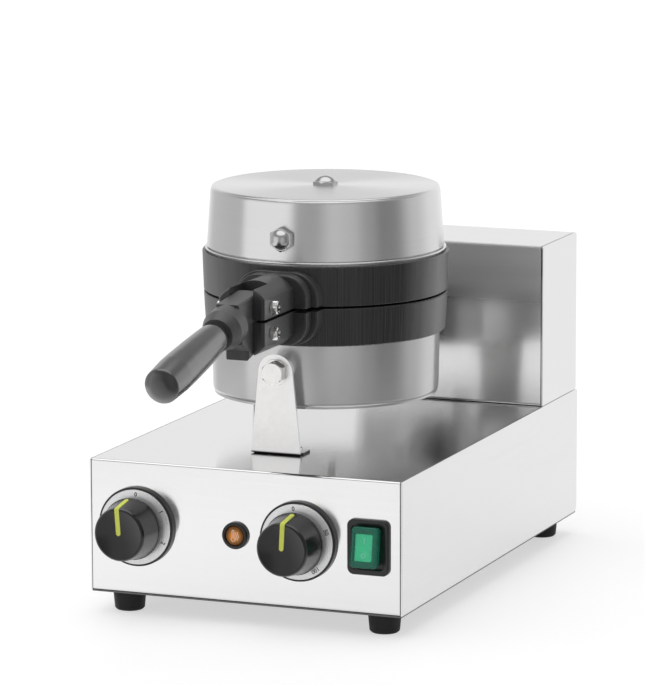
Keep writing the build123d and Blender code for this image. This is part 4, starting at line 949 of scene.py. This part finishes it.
class PRESS_OT_cabinet(PressOperator):
    """Eases the edges of the cabinet and column sheets and gives them their brushed grain"""

    bl_idname = "press.cabinet"
    bl_label = "Cabinet and column"

    def execute(self, context):
        near_side = 1.2 * MM
        for node, finish in (
            ("base_wrap", "Cabinet steel"), ("column_wrap", "Column steel"),
            ("base_side_left", "Side steel"), ("base_side_right", "Side steel"),
            ("column_side_left", "Column side steel"), ("column_side_right", "Column side steel"),
        ):
            mesh = eased_copy(node, sizes().sheet_edge)
            if "wrap" in node:
                half = span(node).x / 2 * MM
                for vertex in mesh.vertices:
                    if abs(vertex.co.x) > half - near_side:
                        vertex.co.x *= 1.0 - sizes().seam / half
            piece(node + "_sheet", mesh, finish, "cabinet", "cabinet_steel", node)
        # The bottom plate is coloured dark as painted shade.
        refinish("Underside steel", "bottom_plate")
        return {"FINISHED"}


class PRESS_OT_feet(PressOperator):
    """Turns the four rubber feet"""

    bl_idname = "press.feet"
    bl_label = "Feet"

    def execute(self, context):
        hole_r = 2.8
        recess_r = 5.2
        recess = 6.0
        for corner in ("front_left", "front_right", "rear_left", "rear_right"):
            node = "foot_" + corner
            spot = middle(node)
            height = span(node).z
            top_r = span(node).x / 2
            profile = [
                (hole_r, height), (top_r, height, 0.5), (top_r - 0.35, height - 1.6, 0.4),
                (top_r - 1.6, 1.4, 1.4), (top_r - 3.2, 0.0, 0.8), (recess_r + 0.2, 0.0, 0.4),
                (recess_r, recess), (hole_r, recess),
            ]
            place = placed((spot.x, spot.y, 0.0), to_right, up)
            mesh = turned(profile, place, sizes().small_segments, loop=True)
            piece(node + "_rubber", mesh, "Foot rubber", "cabinet", "foot_rubber", node)
        return {"FINISHED"}


class PRESS_OT_screws(PressOperator):
    """Puts cross-head screws in the feet, the column flanges, the front bracket and the hinge bracket"""

    bl_idname = "press.screws"
    bl_label = "Screws"

    def execute(self, context):
        shank_r = 2.5
        head_r = 4.75
        head = 3.0
        for node, rows, across, direction, length in (
            ("foot_screws", 2, 1, down, 18.0), ("column_screws", 2, 1, down, 6.0),
            ("bracket_screws", 1, 1, up, 8.0), ("hinge_bracket_screws", 2, 2, to_front, 8.0),
        ):
            low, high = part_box(node)
            sunk = Vector(direction) * head * MM
            seat = (high if sum(direction) > 0 else low) - sunk
            inset = Vector((1.0, 1.0, 1.0)) * head_r * MM
            near, far = low + inset, high - inset
            places = []
            for x in (near.x, far.x):
                for second in (near, far)[:rows]:
                    place = Vector((x, seat.y, seat.z))
                    place[across] = second[across]
                    places.append(place)
            spots = [(place, direction, 0.35 + 0.9 * index) for index, place in enumerate(places)]
            mesh = set_of(node, pan_head(shank_r, head_r, head, length), spots, "Bright plating")
            piece(node + "_cross", mesh, "Bright plating", "cabinet", "fixings", node)
        return {"FINISHED"}


class PRESS_OT_housings(PressOperator):
    """Spins the two thin housings, the lower with a rounded foot and the lid's with a rolled lip"""

    bl_idname = "press.housings"
    bl_label = "Housings"

    def execute(self, context):
        around = sizes().turned_segments
        skin = sizes().skin / MM
        axis = placed((0.0, cook_y, 0.0), to_right, up)
        hole_r = 4.1
        flat_r = 60.0
        top = lid_top_z / MM
        rim = upper_rim_z / MM
        lid_r = 87.5
        rim_r = 90.8
        lip_r = span("upper_housing").x / 2
        bead = 0.8
        upper = [
            (hole_r, top - skin), (hole_r, top), (flat_r, top), (lid_r, top, 4.0),
            (rim_r - 0.1, rim + 3.5, 0.2), (rim_r - 2.2, rim + 3.5), (rim_r - 2.2, rim + 2.7),
            (lip_r - bead, rim + 2.7, 0.4), (lip_r, rim + 2.6, bead), (lip_r, rim + 1.0, bead * 0.9),
            (rim_r - 0.4, rim + 1.0, 0.2), (rim_r - 0.4, rim), (rim_r - 3.0, rim), (rim_r - 3.0, rim + 4.4),
            (rim_r - skin - 0.3, rim + 4.8), (lid_r - skin, top - skin, 3.2),
        ]
        mesh = turned(upper, axis, around, loop=True, steps=8)
        piece("lid_housing", mesh, "Housing steel", "lid", "housing_steel", "upper_housing")
        high = lower_rim_z / MM
        low = lower_foot_z / MM
        rim_r = 87.5
        foot_r = 86.4
        lower = [
            (hole_r, low + skin), (hole_r, low), (flat_r, low), (foot_r, low, 5.4),
            (rim_r, high - 0.2, 0.15), (rim_r, high), (rim_r - skin, high), (foot_r - skin, low + skin, 4.6),
        ]
        mesh = turned(lower, axis, around, loop=True, steps=10)
        piece("base_housing", mesh, "Lower housing steel", "cabinet", "housing_steel", "lower_housing")
        return {"FINISHED"}


class PRESS_OT_plates(PressOperator):
    """Gives the cast plates, heaters and straps their finishes"""

    bl_idname = "press.plates"
    bl_label = "Plates and heaters"

    def execute(self, context):
        for node, body in (("upper_plate", "lid"), ("lower_plate", "cabinet")):
            mesh = eased_copy(node, sizes().plate_edge)
            piece(node + "_casting", mesh, "Plate black", body, "plate_black", node)
        refinish("Heater tube", "upper_heater", "lower_heater")
        refinish("Bracket steel", "upper_strap", "lower_strap", "bracket_spacer")
        refinish("Bright plating", "upper_stud", "lower_stud", "lower_conduit")
        return {"FINISHED"}


class PRESS_OT_lid_nuts(PressOperator):
    """Shapes the low domed nut on the lid and the acorn nut on its front"""

    bl_idname = "press.lid_nuts"
    bl_label = "Lid nuts"

    def execute(self, context):
        flats = 16.5
        cap_r = flats / 2 - 0.35
        hex_height = 2.4
        rise = span("top_nut").z
        cap = rise - hex_height
        dome_r = ((flats / 2) ** 2 + cap ** 2) / (2 * cap)
        place = placed((0.0, cook_y, lid_top_z), to_right, up)
        mesh = hex_solid(flats, 0.0, hex_height, place, dome=(dome_r, rise))
        piece("lid_nut", mesh, "Cap nut plating", "lid", "fixings", "top_nut")
        reach = 11.5
        seat = 0.6
        hex_height = 5.0
        shank_r = 4.0
        centre = middle("front_nut")
        place = placed((centre.x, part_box("front_nut")[0].y + reach * MM, centre.z), to_right, to_front)
        acorn = hex_solid(flats, seat, seat + hex_height, place, dome=(cap_r, reach))
        tail = -8.0
        lap = seat + 0.2
        profile = [(0.0, tail), (shank_r, tail), (shank_r, lap), (0.0, lap)]
        mesh = joined(acorn, turned(profile, place, 48))
        piece("acorn_nut", mesh, "Cap nut plating", "lid", "fixings", "front_nut")
        return {"FINISHED"}


class PRESS_OT_latch(PressOperator):
    """Shapes the latch lever, the grip and the two screws across the lugs"""

    bl_idname = "press.latch"
    bl_label = "Latch"

    def execute(self, context):
        mesh = eased_copy("latch_lever", sizes().cast_edge)
        piece("lever_casting", mesh, "Lever black", "handle", "lever_black", "latch_lever")
        slope = radians(11.5)
        mouth_reach = 50.6
        mouth_drop = 9.9
        pin = middle("pivot_nut")
        mouth = Vector((0.0, pin.y - mouth_reach * MM, pin.z - mouth_drop * MM))
        place = placed(mouth, to_right, (0.0, -cos(slope), -sin(slope)))
        start = 9.5
        rim = start + 102.0
        profile = [
            (0.0, start), (8.6, start, 0.3), (9.3, start + 3.0, 4.0), (11.7, start + 9.0, 9.0),
            (12.35, start + 20.0, 30.0), (13.25, start + 40.0, 60.0), (14.0, start + 66.0, 60.0),
            (14.1, start + 80.0, 60.0), (13.1, rim + 0.4, 3.0), (8.6, rim + 3.9, 12.0), (0.0, rim + 5.0),
        ]
        mesh = turned(profile, place, sizes().turned_segments, smooth_angle=60.0, steps=8)
        piece("grip_turned", mesh, "Grip black", "handle", "grip_black", "handle_grip")
        refinish("Bright plating", "grip_tang")
        for screw, nut, body in (("catch_pin", "catch_nut", "cabinet"), ("pivot_bolt", "pivot_nut", "lid")):
            self.socket_screw(screw, middle(nut), body)
            self.thin_nut(nut, body)
        return {"FINISHED"}

    def socket_screw(self, screw, spot, body):
        """Screw with a knurled head and a hexagon socket."""
        low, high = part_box(screw)
        head_depth = 4.3
        shorter = 3.2
        head_x = high.x - head_depth * MM
        place = placed((head_x, spot.y, spot.z), to_back, to_right)
        tail = shorter - (head_x - low.x) / MM
        around = 60
        shank_r = 3.0
        foot_r = 4.7
        knurl_r = 5.05
        top = 5.7
        valley = 0.94
        depths = [valley if step % 2 else 1.0 for step in range(around)]
        shank = ((0.0, tail), (2.4, tail), (shank_r, tail + 0.8), (shank_r, 0.0), (foot_r, 0.0))
        rings = [ring_at(radius, height, around) for radius, height in shank]
        for height in (0.3, 4.9):
            ring = ring_at(knurl_r, height, around)
            rings.append([(x * depth, y * depth, z) for (x, y, z), depth in zip(ring, depths)])
        crown = ((foot_r, 5.1), (4.3, top), (0.0, top))
        rings += [ring_at(radius, height, around) for radius, height in crown]
        head = lofted(rings, place, smooth_angle=18.0)
        flats = 5.0
        socket_foot = 2.9
        mesh = cut(head, hex_solid(flats, socket_foot, 7.0, place, segments=48))
        piece(screw + "_socket", mesh, "Bright plating", body, "fixings", screw)

    def thin_nut(self, nut, body):
        """Nut a little thinner than its solid, seated on the same face."""
        thinner = 2.2
        flats = 10.0
        spot = middle(nut)
        place = placed((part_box(nut)[0].x + thinner * MM, spot.y, spot.z), to_back, to_right)
        mesh = hex_solid(flats, 0.0, span(nut).x - thinner, place, chamfer_low=True)
        piece(nut + "_hex", mesh, "Bright plating", body, "fixings", nut)


class PRESS_OT_bracket(PressOperator):
    """Eases the front bracket and shapes its bolt and washer"""

    bl_idname = "press.bracket"
    bl_label = "Front bracket"

    def execute(self, context):
        mesh = eased_copy("front_bracket", sizes().sheet_edge)
        piece("front_bracket_sheet", mesh, "Bracket steel", "cabinet", "bracket_steel", "front_bracket")
        low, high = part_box("bracket_bolt")
        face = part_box("front_bracket")[0].y
        place = placed((0.0, face, middle("bracket_bolt").z), to_right, to_front)
        shank_r = 5.0
        washer_r = 10.0
        washer_top = 1.0
        lap = washer_top + 0.1
        flats = 16.0
        tail = (face - high.y) / MM
        profile = [
            (shank_r, 0.0), (washer_r, 0.0, 0.2), (washer_r, washer_top, 0.25), (shank_r, washer_top)
        ]
        washer = turned(profile, place, 96, loop=True)
        head = hex_solid(flats, washer_top, (face - low.y) / MM, place)
        profile = [(0.0, tail), (shank_r, tail), (shank_r, lap), (0.0, lap)]
        mesh = joined(washer, head, turned(profile, place, 64))
        piece("bracket_bolt_hex", mesh, "Bright plating", "cabinet", "fixings", "bracket_bolt")
        return {"FINISHED"}


class PRESS_OT_hinge(PressOperator):
    """Eases the hinge bracket and finishes its pin"""

    bl_idname = "press.hinge"
    bl_label = "Rear hinge"

    def execute(self, context):
        mesh = eased_copy("hinge_bracket", sizes().sheet_edge)
        piece("hinge_bracket_plate", mesh, "Bracket steel", "cabinet", "bracket_steel", "hinge_bracket")
        refinish("Bright plating", "hinge_pin")
        return {"FINISHED"}


class PRESS_OT_controls(PressOperator):
    """Turns the bezels, dials and knobs and prints the dial numbers"""

    bl_idname = "press.controls"
    bl_label = "Timer and thermostat"

    bore_r = 5.2
    bezel_r = 30.0
    dial_r = 28.4
    dial_back = 3.5
    dial_face = 4.5
    knob_back = 7.1
    knob_face = 34.5

    def execute(self, context):
        for name, lean, numbers in (
            ("timer", -4.0, [(str(number), 1.7 + 56.5 * number) for number in range(3)]),
            ("thermostat", 3.0, [(str(50 * step), -6.2 + 75.0 * step) for step in range(4)]),
        ):
            centre = middle(name + "_dial")
            place = facing_front(centre.x, centre.z)
            self.dial(name, place)
            self.numbers(name, place, numbers)
            place = facing_front(centre.x, centre.z, radians(lean))
            self.knob(name, place)
            self.pointer(name, place)
            refinish("Bright plating", name + "_spindle")
            refinish("Control body", name + "_body")
        return {"FINISHED"}

    def dial(self, name, place):
        """Bezel with a raised rim, and the dial plate inside it."""
        around = sizes().turned_segments
        bore_r = self.bore_r
        back = self.dial_back
        face = self.dial_face
        rim = 4.0
        profile = [
            (bore_r, 0.0), (self.bezel_r, 0.0, 0.1), (self.bezel_r, rim, 0.7), (28.7, rim, 0.15),
            (28.6, back), (bore_r, back),
        ]
        mesh = turned(profile, place, around, loop=True)
        piece(name + "_bezel_ring", mesh, "Black plastic", "cabinet", "control_black", name + "_bezel")
        profile = [(bore_r, back), (self.dial_r, back), (self.dial_r, face, 0.3), (bore_r, face)]
        mesh = turned(profile, place, around, loop=True)
        finish = name.capitalize() + " dial silver"
        piece(name + "_dial_plate", mesh, finish, "cabinet", "dial_silver", name + "_dial")

    def numbers(self, name, place, numbers):
        """Numbers printed around the dial, each at its angle clockwise from the top."""
        ring = sizes().number_ring / MM
        height = sizes().number_height / MM
        depth = sizes().print_depth / MM
        prints = []
        for text, degrees in numbers:
            angle = radians(degrees)
            spot = shifted(place, ring * sin(angle), ring * cos(angle), self.dial_face)
            prints.append(lettered(text, height, spot @ Matrix.Rotation(-angle, 4, "Z"), depth))
        piece(name + "_numbers", joined(*prints), "Dial print", "cabinet", "control_black")

    def knob(self, name, place):
        """Knob with a skirt and eased rims."""
        back, face = self.knob_back, self.knob_face
        profile = [
            (0.0, back + 18.0), (3.1, back + 18.0), (3.1, back + 2.0), (18.0, back + 2.0), (18.0, back, 0.2),
            (22.0, back, 0.3), (22.0, back + 3.5), (23.6, back + 3.8, 0.35), (23.3, back + 5.6, 0.3),
            (22.75, back + 6.1, 0.3), (20.15, face - 1.9, 0.9), (19.3, face - 0.25, 1.0), (18.0, face, 0.3),
            (17.8, face - 0.12), (0.0, face - 0.12),
        ]
        mesh = turned(profile, place, sizes().turned_segments)
        piece(name + "_knob_turned", mesh, "Knob black", name, "knob_black", name + "_knob")

    def pointer(self, name, place):
        """Line let into the knob, from the middle of the face over the rim and back along the side."""
        face = self.knob_face
        half = 1.85
        proud = 0.3
        sunk = 0.9
        start = -0.6
        rim_r = 20.1
        rim = face - 1.3
        low = face - 20.0 + half
        slant = (23.6 - rim_r) / (rim - self.knob_back - 3.8)
        turns = [pi / 2 * step / 5 for step in range(1, 6)]
        depths = [low] + [low - half * sin(turn) for turn in turns]
        path = [(start, face)] + [(start + half * (1 - cos(turn)), face) for turn in turns]
        path += [(19.0, face), (19.7, face - 0.35), (rim_r, rim)]
        path += [(rim_r + (rim - depth) * slant, depth) for depth in depths]
        narrow = half * 0.12
        widths = [narrow] + [half * sin(turn) for turn in turns] + [half] * 4
        widths += [max(narrow, half * cos(turn)) for turn in turns]
        rings = []
        for spot, out, width in zip(path, sides_of(path), widths):
            ease = min(0.25, width * 0.4)
            under, shoulder, top = (Vector(spot) + out * rise for rise in (-sunk, proud - ease, proud))
            rings.append([
                (-width, *under), (-width, *shoulder), (-width + ease, *top),
                (width - ease, *top), (width, *shoulder), (width, *under),
            ])
        mesh = lofted(rings, place, closed=True, smooth_angle=40.0)
        piece(name + "_pointer_line", mesh, "Pointer green", name, "pointer_green", name + "_pointer")


def sides_of(path):
    """Direction to the left of a path at each of its points."""
    last = len(path) - 1
    for index in range(len(path)):
        run = (Vector(path[min(last, index + 1)]) - Vector(path[max(0, index - 1)])).normalized()
        yield Vector((-run.y, run.x))


class PRESS_OT_pilot(PressOperator):
    """Shapes the pilot lamp's bezel and domed lens with a thermometer mark"""

    bl_idname = "press.pilot"
    bl_label = "Pilot lamp"

    def execute(self, context):
        around = sizes().small_segments
        centre = middle("pilot_lens")
        place = facing_front(centre.x, centre.z)
        back = (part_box("pilot_bezel")[1].y - front_y) / MM
        bezel = [
            (0.0, -back), (6.2, -back), (6.2, -0.02), (10.2, 0.0, 0.1), (10.2, 2.6, 0.7), (9.0, 3.4, 0.5),
            (8.1, 3.35, 0.3), (7.5, 2.5), (7.46, 1.0), (0.0, 1.0),
        ]
        mesh = turned(bezel, place, around)
        piece("pilot_bezel_ring", mesh, "Black plastic", "cabinet", "control_black", "pilot_bezel")
        lens = [(0.0, 1.0), (7.4, 1.0), (7.4, 2.2, 0.4), (6.6, 2.9, 1.0), (3.5, 3.25, 6.0), (0.0, 3.35)]
        mesh = turned(lens, place, around, smooth_angle=50.0)
        piece("pilot_lens_dome", mesh, "Lens amber", "cabinet", "lens_amber", "pilot_lens")
        stem_x = -1.0
        parts = [self.tube(place, stem_x), self.bulb(place, stem_x)]
        parts += [self.wave(place, x) for x in (1.6, 3.0)]
        piece("pilot_mark", joined(*parts), "Lens mark", "cabinet", "lens_amber")
        return {"FINISHED"}

    def strip(self, place, spine, width):
        """Thin raised strip that follows points on the lens."""
        rings = []
        for (x, y), side in zip(spine, sides_of(spine)):
            side = side * width / 2
            rise = 3.45 - 0.006 * (x * x + y * y)
            left = (x + side.x, y + side.y)
            right = (x - side.x, y - side.y)
            rings.append([(*left, rise - 0.3), (*left, rise), (*right, rise), (*right, rise - 0.3)])
        return lofted(rings, place, closed=True)

    def tube(self, place, x):
        """Outline of the thermometer's tube, open at the bulb."""
        half = 0.75
        low = -1.2
        high = 3.6
        turns = [pi * step / 8 for step in range(1, 8)]
        spine = [(x - half, low), (x - half, high)]
        spine += [(x - half * cos(turn), high + half * sin(turn)) for turn in turns]
        spine += [(x + half, high), (x + half, low)]
        return self.strip(place, spine, 0.6)

    def bulb(self, place, x):
        """Bulb of the thermometer, open at the tube."""
        bulb_r = 1.55
        y = -2.6
        turns = [radians(118 + 304 * step / 20) for step in range(21)]
        return self.strip(place, [(x + bulb_r * cos(turn), y + bulb_r * sin(turn)) for turn in turns], 0.5)

    def wave(self, place, x):
        """Rising wave of warmth beside the thermometer."""
        heights = [0.4 * step - 3.2 for step in range(17)]
        return self.strip(place, [(x + 0.45 * sin(1.4 * (y - 3.2)), y) for y in heights], 0.45)


class PRESS_OT_switch(PressOperator):
    """Shapes the switch's frame, splash cap and rocker, and prints its marks"""

    bl_idname = "press.switch"
    bl_label = "Switch"

    def execute(self, context):
        centre = middle("switch_frame")
        pivot_out = 0.8
        tilt = radians(9.0)
        pivot = (centre.x, front_y - pivot_out * MM, centre.z)
        tilted = placed(pivot, to_right, (0.0, -cos(tilt), sin(tilt)))
        self.surround(facing_front(centre.x, centre.z))
        self.rocker(tilted, placed(pivot, to_back, to_right))
        self.cap(tilted)
        self.marks(tilted)
        refinish("Black plastic", "switch_body")
        return {"FINISHED"}

    def surround(self, place):
        """Frame with a raised, rounded rim around the opening."""
        wide, tall, corner = 32.6, 41.5, 5.0
        in_wide, in_tall, in_corner = 24.4, 32.2, 3.0
        rings = [
            rounded_rect(wide - less, tall - less, corner - sharper, depth) for less, sharper, depth in (
                (0.0, 0.0, 0.0), (0.0, 0.0, 2.3), (0.5, 0.2, 2.95), (1.6, 0.6, 3.35), (2.6, 1.0, 3.4),
            )
        ]
        for more, softer, depth in ((1.4, 0.5, 3.4), (0.5, 0.0, 3.15), (0.0, 0.0, 2.5), (0.0, 0.0, 0.0)):
            rings.append(rounded_rect(in_wide + more, in_tall + more, in_corner + softer, depth))
        mesh = lofted(rings, place, loop=True, smooth_angle=50.0)
        piece("switch_frame_moulding", mesh, "Black plastic", "cabinet", "control_black", "switch_frame")

    def rocker(self, place, axle_place):
        """Lit block of the rocker, and its axle."""
        steps = (
            (15.0, 21.4, 0.5, -3.2), (15.0, 21.4, 0.5, 9.2), (14.4, 20.8, 0.6, 9.9), (13.4, 19.8, 0.6, 10.1)
        )
        block = lofted([rounded_rect(*step) for step in steps], place, closed=True)
        half = span("switch_rocker").x / 2 - 3.0
        axle_r = 2.0
        profile = [(0.0, -half), (axle_r, -half, 0.2), (axle_r, half, 0.2), (0.0, half)]
        mesh = joined(block, turned(profile, axle_place, 48))
        piece("rocker_block", mesh, "Rocker green", "rocker", "rocker_green", "switch_rocker")

    def cap(self, place):
        """Clear splash cap with a thin window over the rocker."""
        hem = 4.4
        reach = 1.4
        window = (13.4, 20.0, 1.0)
        steps = (
            (20.6, 30.2, 3.0, hem), (20.6, 30.2, 3.0, 8.2 + reach), (20.2, 29.8, 2.9, 9.1 + reach),
            (19.2, 28.8, 2.6, 9.6 + reach), (17.4, 26.8, 2.2, 9.75 + reach), (15.6, 23.0, 1.4, 9.8 + reach),
            (14.4, 21.0, 1.0, 9.55 + reach), (*window, 9.5 + reach), (*window, 9.0 + reach),
            (15.4, 23.0, 1.4, 9.0 + reach), (18.8, 28.2, 2.2, 8.4 + reach), (19.0, 28.6, 2.2, hem),
        )
        rings = [rounded_rect(*step) for step in steps]
        mesh = lofted(rings, place, loop=True, smooth_angle=60.0)
        piece("splash_cap", mesh, "Cap green", "rocker", "cap_green", "switch_boot")
        rings = [rounded_rect(*window, depth + reach) for depth in (9.0, 9.5)]
        mesh = lofted(rings, place, closed=True)
        piece("splash_pane", mesh, "Pane green", "rocker", "cap_green")

    def marks(self, place):
        """Bar and ring printed on the rocker."""
        face = 10.1
        thick = 0.12
        bar = [rounded_rect(0.75, 4.6, 0.2, depth) for depth in (0.0, thick)]
        bar = lofted(bar, shifted(place, 0.0, 5.0, face), closed=True)
        profile = [(1.25, 0.0), (1.95, 0.0), (1.95, thick), (1.25, thick)]
        ring = turned(profile, shifted(place, 0.0, -5.6, face), 48, loop=True)
        piece("switch_marks", joined(bar, ring), "Switch print", "rocker", "rocker_green")


class PRESS_OT_gland(PressOperator):
    """Shapes the cable gland with its ribbed cap"""

    bl_idname = "press.gland"
    bl_label = "Cable gland"

    def execute(self, context):
        low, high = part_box("cord_gland")
        spot = middle("cord_gland")
        place = placed((spot.x, back_y, spot.z), to_right, to_back)
        inside = (back_y - low.y) / MM
        out = (high.y - back_y) / MM
        flats = 22.0
        bore_r = 4.5
        thread_r = 8.0
        cap_r = 9.0
        flange_top = 6.0
        flange = hex_solid(flats, 0.0, flange_top, place)
        lock = hex_solid(flats, -5.2, -1.2, place, chamfer_low=True)
        profile = [
            (bore_r, -inside), (thread_r, -inside), (thread_r, flange_top), (cap_r, flange_top, 0.3),
            (cap_r, out - 1.6, 1.2), (7.2, out, 0.6), (bore_r, out),
        ]
        core = turned(profile, place, sizes().small_segments, loop=True)
        rib_start = flange_top + 0.2
        rings = [rounded_rect(0.9, 0.8, 0.2, depth) for depth in (0.0, out - 8.4)]
        rib = lofted(rings, unit_place, closed=True)
        count = sizes().gland_ribs
        spots = []
        for step in range(count):
            angle = 2 * pi * step / count
            foot = place @ Vector((cap_r * cos(angle), cap_r * sin(angle), rib_start))
            spots.append((foot, to_back, angle))
        mesh = joined(flange, lock, core, set_of("gland_ribs", rib, spots, "Black plastic"))
        piece("gland_body", mesh, "Black plastic", "cabinet", "control_black", "cord_gland")
        return {"FINISHED"}


class PRESS_OT_studio(PressOperator):
    """Sets up the floor, the light and the camera"""

    bl_idname = "press.studio"
    bl_label = "Studio"

    def execute(self, context):
        self.camera(context.scene)
        self.floor()
        self.lamp()
        self.surroundings(context.scene)
        context.scene.view_settings.view_transform = "Standard"
        return {"FINISHED"}

    def camera(self, scene):
        """Camera from in front, to the right and a little above, as the photographer stood."""
        lens = bpy.data.cameras.new("Camera")
        lens.lens = 240.65
        lens.sensor_width = 36.0
        lens.clip_end = 50.0
        eye = (1.286888, -3.178480, 0.799918)
        right = Vector((0.92823, 0.37200, -0.00288))
        top = Vector((-0.06226, 0.16299, 0.98466))
        turn = Matrix((right, top, right.cross(top))).transposed().to_4x4()
        scene.camera = in_scene("Camera", lens)
        scene.camera.matrix_world = Matrix.Translation(eye) @ turn

    def floor(self):
        """White floor that keeps the shadow; mirrors see it grey nearby and not at all farther off."""
        seen_level = 0.57
        left_level = 0.62
        right_level = 0.45
        near_r = 0.50
        far_r = 0.72
        shape = bmesh.new()
        bmesh.ops.create_grid(shape, x_segments=4, y_segments=4, size=12.0)
        mesh = mesh_from(shape)
        ground = in_scene("floor", mesh)
        finish = Finish("Studio floor", colours().floor, 0.6)
        tree = finish.tree
        finish.set("Specular IOR Level", 0.15)
        finish.set("Roughness", finish.group("Handling", Size=3.0, Low=0.55, High=0.65)["Value"])
        mirrored, rays = mirrored_ray(tree)
        seen = math_node(tree, "MULTIPLY", rays["Is Camera Ray"], seen_level)
        place = parts_of(tree, finish.vector)
        bounce = ranged(tree, place["X"], -0.3, 0.3, left_level, right_level)
        corner = math_node(tree, "MULTIPLY_ADD", place["Y"], -0.35, place["X"])
        inside = ranged(tree, corner, 0.18, 0.38, 1.0, 0.0, smooth=True)
        bounce = math_node(tree, "MULTIPLY", bounce, inside)
        finish.glow(math_node(tree, "MULTIPLY_ADD", mirrored, bounce, seen))
        reach = vector_node(tree, "LENGTH", finish.vector)
        far = ranged(tree, reach, near_r, far_r, smooth=True)
        unseen = math_node(tree, "MULTIPLY", far, rays["Is Glossy Ray"])
        clear = tree.nodes.new("ShaderNodeBsdfTransparent")
        mixer = fed_node(tree, "ShaderNodeMixShader", (unseen, finish.shader.outputs[0], clear.outputs[0]))
        finish.feed(mixer.outputs[0], finish.end.inputs["Surface"])
        mesh.materials.append(finish.material)

    def lamp(self):
        """Broad soft light from above, which no mirror shows."""
        sun = bpy.data.lights.new("Overhead light", "SUN")
        sun.energy = 1.15
        sun.angle = radians(75)
        above = in_scene("Overhead light", sun)
        above.rotation_euler = (radians(12), radians(-16), 0.0)
        above.visible_glossy = False

    def surroundings(self, scene):
        """White backdrop, soft light, and the light and dark panels that the steel mirrors."""
        world = bpy.data.worlds.new("Studio")
        world.use_nodes = True
        scene.world = world
        tree = world.node_tree
        tree.nodes.clear()
        mirrored, rays = mirrored_ray(tree)
        parts = parts_of(tree, tree.nodes.new("ShaderNodeTexCoord").outputs["Generated"])
        forward = math_node(tree, "MULTIPLY", parts["Y"], -1.0)
        azimuth = math_node(tree, "ARCTAN2", parts["X"], forward)
        panels = fed_node(tree, "ShaderNodeValToRGB", (ranged(tree, azimuth, -pi, pi),))
        stops = (
            (-180, 0.96), (-150, 0.90), (-118, 0.62), (-70, 0.58), (-62, 0.98), (-16, 1.0), (-5, 0.46),
            (10, 0.42), (30, 0.66), (46, 0.60), (66, 0.38), (80, 0.25), (92, 0.27), (120, 0.66),
            (150, 0.92), (180, 0.96),
        )
        ramp = panels.color_ramp
        ramp.interpolation = "EASE"
        for index, (degrees, level) in enumerate(stops):
            place = (degrees + 180) / 360
            stop = ramp.elements[index] if index < 2 else ramp.elements.new(place)
            stop.position = place
            stop.color = (level, level, level, 1.0)
        soft_level = 0.55
        extra_overhead = 0.4
        dim = (0.36, 0.36, 0.36, 1.0)
        white = (1.0, 1.0, 1.0, 1.0)
        upper = ranged(tree, parts["Z"], 0.36, 0.60, smooth=True)
        overhead = ranged(tree, parts["Z"], 0.72, 0.88, smooth=True)
        room = colour_mix(tree, overhead, colour_mix(tree, upper, panels.outputs["Color"], dim), white)
        strength = math_node(tree, "MULTIPLY_ADD", overhead, extra_overhead, 1.0)

        def light(colour, level):
            return fed_node(tree, "ShaderNodeBackground", {"Color": colour, "Strength": level}).outputs[0]

        shown = (mirrored, light(white, soft_level), light(room, strength))
        lit = fed_node(tree, "ShaderNodeMixShader", shown).outputs[0]
        backdrop = light(white, 1.0)
        view = fed_node(tree, "ShaderNodeMixShader", (rays["Is Camera Ray"], lit, backdrop))
        fed_node(tree, "ShaderNodeOutputWorld", {"Surface": view.outputs[0]})


operators = (
    PRESS_OT_studio, PRESS_OT_cabinet, PRESS_OT_feet, PRESS_OT_screws, PRESS_OT_housings, PRESS_OT_plates,
    PRESS_OT_lid_nuts, PRESS_OT_latch, PRESS_OT_bracket, PRESS_OT_hinge, PRESS_OT_controls, PRESS_OT_pilot,
    PRESS_OT_switch, PRESS_OT_gland,
)


class PRESS_PT_panel(bpy.types.Panel):
    """Sidebar panel that lists the steps and their values"""

    bl_idname = "PRESS_PT_panel"
    bl_label = "Round Bread Press"
    bl_space_type = "VIEW_3D"
    bl_region_type = "UI"
    bl_category = "Press"

    def draw(self, context):
        for group in (sizes(), colours()):
            box = self.layout.box()
            for label in group.__annotations__:
                box.prop(group, label)
        for operator in operators:
            self.layout.operator(operator.bl_idname)


def register():
    for kind in (PressSizes, PressColours, *operators, PRESS_PT_panel):
        bpy.utils.register_class(kind)
    bpy.types.Scene.press_sizes = PointerProperty(type=PressSizes)
    bpy.types.Scene.press_colours = PointerProperty(type=PressColours)


def unregister():
    del bpy.types.Scene.press_colours
    del bpy.types.Scene.press_sizes
    for kind in (PRESS_PT_panel, *reversed(operators), PressColours, PressSizes):
        bpy.utils.unregister_class(kind)


def main():
    register()
    for operator in operators:
        family, name = operator.bl_idname.split(".")
        getattr(getattr(bpy.ops, family), name)()
    bpy.context.view_layer.update()


if __name__ == "__main__":
    main()
